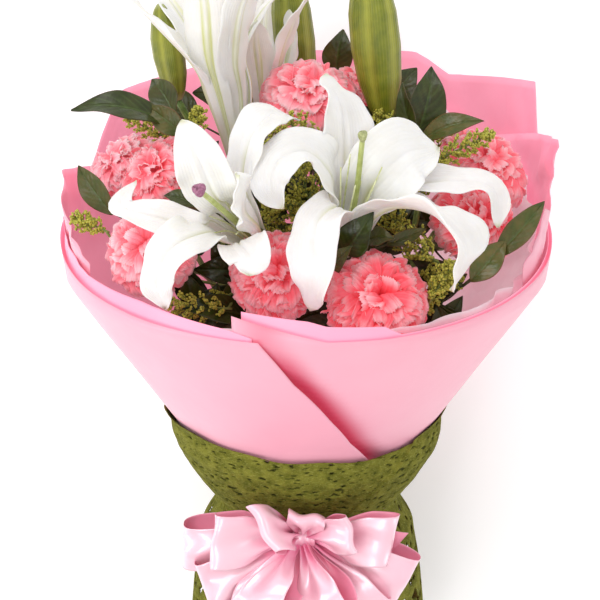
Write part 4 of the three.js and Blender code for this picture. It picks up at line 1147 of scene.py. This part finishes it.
# each sheet: its node, layer, upright edges, rim, how far it swells, and how far it crumples above the rim
panels = [
    ("wrap_back_sheet", 0, back_start, back_end, lambda d: along_corners(back_rim, d), 2.0, 3),
    ("wrap_front_left", 1, lambda z: -105, seam_degrees, front_rim, 1.0, 0),
    ("wrap_front_right", 2, right_panel_start, lambda z: 105, right_panel_rim, 1.0, 0),
    ("wrap_left_sheet", 3, lambda z: -150, lambda z: -62, lambda d: along_corners(left_rim, d), 1.5, 8),
    ("wrap_right_sheet", 4, lambda z: 62, lambda z: 150, lambda d: along_corners(right_rim, d), 1.5, 8),
]
for name, layer, start, end, rim, swell, crumple in panels:
    inset = paper_thickness / 2 + layer * layer_pitch
    points, degrees, z, u, v = sheet_grid(start, end, rim, inset)
    stand = smoothstep(z, band_top, rim_height * 0.8)
    push = waviness(points, 70, layer + 1) * swell * stand
    if crumple:
        crumpled = smoothstep(z, rim_height, rim_height + 45) * crumple
        push = push - crumpled * np.abs(waviness(points, 26, layer + 7))
        push = push - crumpled * 0.4 * np.abs(waviness(points, 60, layer + 3))
    tint = 0 * z
    if name == "wrap_front_right":
        past_seam = degrees - seam_degrees(z)
        valley = bump(past_seam, 1, lerp(5, 7, smoothstep(z, rim_height, band_top)))
        valley = valley * smoothstep(z, band_top * 0.7, band_top * 0.95)
        push = push - valley_depth * valley * (1 - smoothstep(z, rim_height * 0.76, rim_height * 0.88))
        # The same valley tints the film deep rose: painted shade in the fold beside the seam, fading
        # towards the rim.
        fading = 1 - 0.6 * smoothstep(z, rim_height * 0.85, rim_height)
        tint = np.clip(valley * 1.15 - 0.15, 0, 1) * fading
    points = kept_on_table(points + outward_of(degrees) * push[..., None], inset)
    shape = Shape()
    shape.grid(points, marks(u, v, tint, 0.5))
    piece = make_piece(f"{name}_film", shape, [film_outside, film_inside], [name],
                       thickness=film_thickness, inner_finish=1)

# The doubled rims: a turned-in strip stands a little above each front panel's edge. Layer, ends in
# degrees, the panel's rim, and how far the strip rises above it.
strip_height = 22
rim_strips = [
    ("wrap_front_left_fold", 1, -103, -12.5, front_rim,
     [(-105, 2), (-85, 16), (-60, 10), (-40, 13), (-18, 7), (-12, 2)]),
    ("wrap_front_right_fold", 2, -15, 104, right_panel_rim,
     [(-17, 4), (0, 12), (17, 9), (21, 1), (105, 1)]),
]
for name, layer, start, end, rim, rise in rim_strips:
    inset = paper_thickness / 2 + layer * layer_pitch + 1.1
    points, degrees, z, u, v = sheet_grid(
        lambda z: start, lambda z: end, lambda d: rim(d) + along_corners(rise, d), inset, 24, 90,
        rim_height - strip_height)
    lean = smoothstep(z, rim_height - 20, rim_height + 20) * 2.0
    crumpled = 4 * np.abs(waviness(points, 24, 31)) * smoothstep(-degrees, 45, 80)
    lean = lean + crumpled * smoothstep(v, 0.4, 1)
    points = points - outward_of(degrees) * lean[..., None]
    shape = Shape()
    shape.grid(points, marks(u, v, 0, 0.5))
    piece = make_piece(name, shape, [film_inside, film_inside], thickness=film_thickness)

# ---- Fibre mesh ----------------------------------------------------------------------------
# Olive fibre mesh, pulled like thin felt until it tears into holes. A folded band grips the cone of
# paper, and a single ragged layer hangs as a skirt below the bow.

mesh_finish, tree, shader, (place, across, along, tint, chance) = new_finish(
    "fibre_mesh", Roughness=0.9, Specular_IOR_Level=0.1)
felt = mottled(tree, place, 110, (0.105, 0.108, 0.012, 1), (0.20, 0.196, 0.028, 1))
stretched = add_node(tree, "ShaderNodeMapping", {"Vector": place, "Scale": (1, 3.2, 1)})
hairs = add_node(tree, "ShaderNodeTexNoise", {"Vector": stretched.outputs[0], "Scale": 330.0, "Detail": 6.0,
                                              "Distortion": 1.6}).outputs[0]
hair_share = add_node(tree, "ShaderNodeMapRange", {0: hairs, 1: 0.5, 2: 0.75}).outputs[0]
fibre_colour = blend_colours(tree, calculate(tree, "MULTIPLY", hair_share, 0.7), felt.outputs["Colour"],
                             (0.35, 0.34, 0.085, 1))
# The tint paints the fibre near black. This is painted shade in the pits of the band and on its under
# layer, and a lighter painted shade round the skirt's holes.
fibre_colour = blend_colours(tree, tint, fibre_colour, (0.028, 0.032, 0.006, 1))
paint(tree, shader, fibre_colour)
raise_surface(tree, shader, calculate(tree, "MULTIPLY_ADD", hairs, 0.8, felt.outputs["Height"]), 0.0009)


def mesh_inner(z):
    return paper_radius(0, z) + 0.6 + paper_thickness / 2


def pits(degrees, z, radius, long, tall, seed):
    """Holes of about that length and height, scattered over a ring: how deep in one each point is."""
    around = np.radians(degrees) * radius
    samples = np.stack([around / long, z / tall, 0 * z + seed], axis=-1)
    flat = samples.reshape(-1, 3).tolist()
    field = [noise.noise(Vector(point)) + 0.35 * noise.noise(Vector(point) * 2.3) for point in flat]
    return np.array(field).reshape(z.shape)


def mesh_ring(bottom, top, start, end, inner, columns, rows):
    """Places on a ring of mesh: its angle, height and radius, and its shares across and along."""
    v, u = shares(rows, columns, 0)
    degrees = lerp(start, end, u) + 0 * v
    z = lerp(bottom(degrees), top(degrees), v)
    return degrees, z, inner(z), u, v


def band_top_edge(degrees):
    """The band is pulled down in front and rides up at the sides."""
    corners = [(0, 69), (29, 66), (70, 80), (180, 74), (285, 81), (360, 69), (400, 66)]
    level = along_corners(corners, degrees)
    return level + 1.2 * np.sin(np.radians(degrees * 5)) + 0.8 * np.sin(np.radians(degrees * 13 + 40))


def band_low_edge(degrees):
    corners = [(0, 0), (38, -4), (69, 11), (180, 4), (291, 11), (360, 0), (400, -4)]
    level = along_corners(corners, degrees)
    return level + np.sin(np.radians(degrees * 7))


def ring_points(degrees, z, radius):
    return kept_on_table(round_the_stems(radius, np.radians(degrees), z), 0.6)


degrees, z, radius, u, v = mesh_ring(band_low_edge, band_top_edge, 20, 392, mesh_inner, 700, 104)
pit_length, pit_height = 4.3, 1.75
field = pits(degrees, z, 92, pit_length, pit_height, 7.5)
folds = waviness(np.stack([np.radians(degrees) * 40, z * 2.2, 0 * z], -1), 14, 9) * 1.1
crease = np.exp(-((degrees - 30 - (z - 30) * 0.45) / 0.9) ** 2) * 2.1
depth = smoothstep(field, 0.32, 0.5)
right_share = smoothstep(degrees, 22, 30) * (1 - smoothstep(degrees, 110, 150))
snug = smoothstep(z, 45, 80) * (2.5 + 3.5 * right_share)
points = ring_points(degrees, z, radius + 1.2 + 0.9 * u + folds * 0.6 + crease - 1.1 * depth - snug)
solid_cells = (field[:-1, :-1] + field[1:, 1:] + field[:-1, 1:] + field[1:, :-1]) / 4 < 0.56
shape = Shape()
# Points deep in a pit carry tint: painted shade there.
shape.grid(points, marks(u, v, np.clip(depth * 0.85, 0, 1), 0.5), keep=solid_cells)
# The band's under layer is painted dark all over: painted shade seen through the holes.
under = ring_points(degrees[::4, ::4], z[::4, ::4], (radius - snug)[::4, ::4] + 0.5)
shape.grid(under, marks(u[:, ::4], v[::4], 0.85, 0.5))
band = make_piece("mesh_band_fibre", shape, [mesh_finish], ["mesh_band"], thickness=0.45)

skirt_hem_radius = 96
skirt_top = 9
belly_depth = 13


def skirt_inner(z):
    hanging = lerp(mesh_inner(0.0), skirt_hem_radius, smoothstep(-z, 0, hem_drop))
    return np.where(z > 0, mesh_inner(z), hanging)


def ragged_hem(degrees):
    teeth = 7 * np.sin(np.radians(degrees * 9)) + 5 * np.sin(np.radians(degrees * 23 + 30))
    return 8 - hem_drop + np.maximum(teeth, -7)


degrees, z, radius, u, v = mesh_ring(ragged_hem, lambda d: 0 * d + skirt_top, 0, 360, skirt_inner, 560,
                                      130)
fold_depth = 4 * smoothstep(-z, 20, hem_drop) * (np.cos(np.radians(9 * degrees)) + 1) / 2
belly = belly_depth * smoothstep(-z, -6, 26) * (1 - smoothstep(-z, 45, 150))
belly = belly * np.sin(np.radians(degrees)) ** 2
hole_length, hole_height = 4.6, 7.5
field = pits(degrees, z, 85, hole_length, hole_height, 21.5)
field[:, -1] = field[:, 0]
torn = lerp(0.42, 0.22, smoothstep(-z, -5, 60))
depth = smoothstep(field, torn - 0.16, torn)
points = ring_points(degrees, z, radius + 1 + belly + fold_depth - 0.8 * depth)
cell_field = field[:-1, :-1] - torn[:-1, :-1]
shape = Shape()
# Round its holes the skirt is painted somewhat darker: painted shade.
shape.grid(points, marks(u, v, depth * 0.4, 0.5), keep=cell_field < 0)
skirt = make_piece("mesh_skirt_fibre", shape, [mesh_finish], ["mesh_skirt"], thickness=0.5)

# ---- Ribbon bow ----------------------------------------------------------------------------
# Pale pink satin ribbon goes round the waist and is tied in front. The loops fan out from a pinched
# knot, each gathered into pleats at its foot, and two tails hang down over the skirt.

ribbon_width = 37
knot_radius = 15
pinch_radius = 9
ribbon_inner = float(mesh_inner(0.0)) + 1.8 + 0.35
knot = np.array([-5, -(ribbon_inner + 19), 2])

ribbon_finish, tree, shader, (place, across, along, tint, chance) = new_finish(
    "satin_ribbon", Roughness=0.34, Metallic=0.18, Coat_Weight=1.0, Coat_Roughness=0.23, Coat_IOR=2.1)
satin = mottled(tree, place, 16, (0.95, 0.50, 0.61, 1), (0.96, 0.57, 0.67, 1))
# The tint blends the satin toward a deep rose. This is painted shade among the gathered loops near the
# knot, at the tails' upper ends, on the waist band and on the pinched strip.
paint(tree, shader, blend_colours(tree, tint, satin.outputs["Colour"], (0.92, 0.22, 0.42, 1)))
weave = ridges(tree, across, 90, 1)
raise_surface(tree, shader, weave, 0.00004)
ribbon_inside, tree, shader, (place, across, along, tint, chance) = new_finish(
    "satin_inside", Roughness=0.4, Coat_Weight=0.4, Coat_Roughness=0.3)
lining = mottled(tree, place, 16, (0.94, 0.30, 0.44, 1), (0.95, 0.37, 0.51, 1))
paint(tree, shader, lining.outputs["Colour"])

# each loop: its tip from the knot, the direction of its outer fold, its widening there and its fullness
bow_loops = [
    ((-93, -3, -8), (0.05, -0.15, 1), 1.05, 19), ((-69, -25, 5), (0.12, 0, 1), 1.22, 9),
    ((-78, -12, -38), (-0.28, -0.1, 0.95), 1.15, 15), ((-30, -37, 21), (-0.5, 0.1, 0.86), 1.15, 9),
    ((84, -10, -34), (0.42, -0.1, 0.9), 1.1, 17), ((71, -20, 4), (0.2, 0, 0.98), 1.15, 12),
    ((38, -35, 15), (-0.25, 0.05, 0.95), 0.85, 8), ((-46, -14, -66), (-0.75, -0.1, 0.65), 1.1, 17),
    ((56, -12, -62), (0.7, -0.1, 0.7), 1.1, 17), ((-33, -30, -50), (0.86, -0.5, 0.16), 1.25, 18),
    ((22, -33, -52), (0.74, -0.42, 0.5), 1.2, 17), ((4, -22, 24), (0.9, 0, -0.2), 0.8, 8),
]
# each loose end: its tip from the knot and the direction across it
bow_tails = [((-14, -8, -80), (1, 0, 0.1)), ((18, -7, -80), (1, 0, -0.15)), ((80, -3, -16), (0.2, 0, 0.98))]


def bow_directions(tip, across):
    """How far a loop or a loose end reaches, the way it runs, the way across it, and the way it faces."""
    reach = np.linalg.norm(tip)
    out = vec(tip) / reach
    across = unit(vec(across))
    front = unit(np.cross(across, out))
    return reach, out, across, front if front[1] < 0 else -front


def clear_of_skirt(points, gap):
    """Moves points of the bow out to the front where they would come closer to the skirt than the gap."""
    behind = skirt_inner(np.minimum(points[..., 2], 0)) + gap
    front = -np.sqrt(np.maximum(behind**2 - points[..., 0] ** 2, 400))
    points[..., 1] = np.minimum(points[..., 1], front)


def add_bow_loop(shape, tip, across, widening, fullness, draw):
    """A loop of ribbon, out from the knot and back, pleated at its foot."""
    reach, out, across, front = bow_directions(tip, across)
    gathered = np.cross(out, front)
    gathered = gathered * np.sign(np.dot(gathered, across))
    v, u = shares(72, 27)
    turn = 2 * np.pi * lerp(0.015, 0.985, v)
    open_share = (1 - np.cos(turn)) / 2
    width = ribbon_width * lerp(0.24, widening, smoothstep(open_share, 0, 0.66))
    pleats = draw.choice([1.5, 2.0, 2.5])
    phase = draw.uniform(0, 6.3)
    pleat = (1 - smoothstep(open_share, 0.05, 0.85)) * 3.4 * np.cos(np.pi * pleats * u + phase)
    crease = 2.0 * np.sin(np.pi * (u + 0.8 * open_share) * 1.2 + phase) * open_share
    ahead = 0.2 * knot_radius + (reach - 0.2 * knot_radius) * open_share ** 0.82
    sides = np.sign(np.sin(turn)) * np.abs(np.sin(turn)) ** 0.75 * open_share ** 0.55
    spread = lerp(gathered, across, smoothstep(open_share, 0, 0.6)[..., None])
    points = (knot + out * ahead[..., None] + front * (-fullness * sides * 0.8 + pleat + crease)[..., None]
              + spread * (u * width / 2)[..., None])
    clear_of_skirt(points, 5)
    # The loop is painted deeper near its foot: painted shade among the gathered pleats.
    deep_and_fold_shade = 0.9 * (1 - smoothstep(open_share, 0.0, 0.5)) + 0 * u
    if np.dot(np.cross(across, out), front) > 0:
        points = points[:, ::-1]
    shape.grid(points, marks((u + 1) / 2, v, deep_and_fold_shade, 0.5))
    return points


draw = random.Random(11)
shape = Shape()
ribbon_parts = [add_bow_loop(shape, *loop, draw) for loop in bow_loops]
for tip, across in bow_tails:
    reach, out, across, front = bow_directions(tip, across)
    v, u = shares(40, 23)
    width = ribbon_width * lerp(0.3, 0.95, smoothstep(v, 0, 0.7))
    notch = -10 * (1 - np.abs(u)) * smoothstep(v, 0.8, 1)
    ripple = 3.2 * np.sin(2 * np.pi * 1.2 * v + 1.5 * u) + 2.4 * (1 - v) * np.cos(3 * np.pi * u)
    points = (knot + out * (reach * v + notch)[..., None] + across * (u * width / 2)[..., None]
              + front * (ripple - 4)[..., None])
    clear_of_skirt(points, 4)
    # Tint toward the knot: painted shade.
    shape.grid(points, marks((u + 1) / 2, v, 0.6 * (1 - v) + 0 * u, 0.5))
    ribbon_parts.append(points)

# the band round the waist, lifted to the knot in front, and the short strip pinched round the knot
waist_middle, waist_half_height, waist_lift = -12, 4.5, 12
turn = np.linspace(0, 2 * np.pi, 140)[:, None]
u = np.linspace(-1, 1, 13)[None, :]
height = waist_middle + waist_half_height * u
lifted = waist_lift * bump(np.mod(turn + np.pi, 2 * np.pi), np.pi, 0.2)
around = skirt_inner(np.minimum(height, 0)) + 3.8 + 1.1 * np.cos(2.5 * np.pi * u + 2 * turn) + lifted
points = kept_on_table(round_the_stems(around, turn, height), 0.5)
# Tint all over: painted shade on the waist band.
shape.grid(points[:, ::-1], marks((u + 1) / 2, turn / 6.3, 0.3, 0.5))
ribbon_parts.append(points)
turn = np.linspace(0, 2 * np.pi, 40)[:, None]
pinch = 1 + 0.06 * np.cos(4 * np.pi * u) + 0.12 * u**2
points = knot + pinch_radius * np.stack(
    [u * (1 - 0.12 * np.cos(turn)), pinch * np.cos(turn), pinch * np.sin(turn)], axis=-1)
# Tint all over: painted shade on the pinched strip.
shape.grid(points[:, ::-1], marks((u + 1) / 2, turn / 6.3, 0.35, 0.5))
ribbon_parts.append(points)
bow = make_piece("bow_ribbon", shape, [ribbon_finish, ribbon_inside], ["bow"],
                 thickness=0.35, inner_finish=1)

# ---- Table, light and camera ---------------------------------------------------------------
# The bouquet lies on its back on a plain pale table, in soft studio light. The camera looks down on
# its front, a little from the flowers' end.

floor_mesh = bpy.data.meshes.new("table")
floor_half = 6.0
floor_corners = [(x * floor_half, y * floor_half, 0) for x, y in ((-1, -1), (1, -1), (1, 1), (-1, 1))]
floor_mesh.from_pydata(floor_corners, [], [(0, 1, 2, 3)])
floor = bpy.data.objects.new("table", floor_mesh)
bpy.context.collection.objects.link(floor)
floor_finish = bpy.data.materials.new("table_top")
floor_finish.use_nodes = True
floor_shader = floor_finish.node_tree.nodes["Principled BSDF"]
for socket, value in (("Base Color", (0.93, 0.93, 0.93, 1)), ("Emission Color", (1, 1, 1, 1)),
                      ("Emission Strength", 0.2), ("Roughness", 0.7)):
    floor_shader.inputs[socket].default_value = value
floor_mesh.materials.append(floor_finish)

scene = bpy.context.scene
scene.view_settings.view_transform = "Standard"
world = bpy.data.worlds.new("studio")
scene.world = world
world.use_nodes = True
world.node_tree.nodes["Background"].inputs[0].default_value = (1, 1, 1, 1)
world.node_tree.nodes["Background"].inputs[1].default_value = 0.81


bouquet_middle = np.array([-6, 0, 165])


def in_the_room(direction, distance):
    """A point round the middle of the bouquet, in metres, by directions as it was put together."""
    return lay_down @ Vector(bouquet_middle + unit(vec(direction)) * distance * 1000)


middle = lay_down @ Vector(bouquet_middle)
# direction, distance, width, length and power of each soft light; the long ones draw streaks on the satin
for name, direction, distance, width, length, power in [
    ("key_light", (-0.65, -0.8, 0.6), 1.7, 0.7, 0.7, 8),
    ("fill_light", (0.9, -0.8, 0.2), 1.9, 1.2, 1.2, 1.0),
    ("top_light", (0.1, -0.4, 1.0), 1.8, 0.9, 0.9, 6),
    ("front_strip", (-0.22, -1.0, -0.35), 1.4, 0.11, 1.1, 3.0),
    ("left_strip", (-0.85, -0.5, -0.3), 1.3, 0.12, 1.1, 3.2),
    ("right_strip", (0.8, -0.55, -0.3), 1.3, 0.10, 1.1, 1.6),
]:
    lamp = bpy.data.lights.new(name, "AREA")
    lamp.shape = "RECTANGLE"
    lamp.size = width
    lamp.size_y = length
    lamp.energy = power
    lamp_object = bpy.data.objects.new(name, lamp)
    lamp_object.location = in_the_room(direction, distance)
    lamp_object.rotation_euler = (middle - lamp_object.location).to_track_quat("-Z", "Y").to_euler()
    bpy.context.collection.objects.link(lamp_object)

camera_rise = math.radians(18)
camera_distance = 1.8
back = np.array([0, -math.cos(camera_rise), math.sin(camera_rise)])
image_up = Vector((0, math.sin(camera_rise), math.cos(camera_rise)))
aim = Vector((-6.4, 0, 165))
camera_data = bpy.data.cameras.new("camera")
camera_data.sensor_width = 36
camera_data.lens = 135  # millimetres
camera = bpy.data.objects.new("camera", camera_data)
turned = lay_down.to_3x3() * 1000
z_axis = (turned @ Vector(back)).normalized()
y_axis = (turned @ image_up).normalized()
x_axis = y_axis.cross(z_axis)
pose = Matrix((x_axis, y_axis, z_axis)).transposed().to_4x4()
pose.translation = lay_down @ (aim + Vector(back) * camera_distance * 1000)
camera.matrix_world = pose
camera_data.clip_end = 50
bpy.context.collection.objects.link(camera)
scene.camera = camera
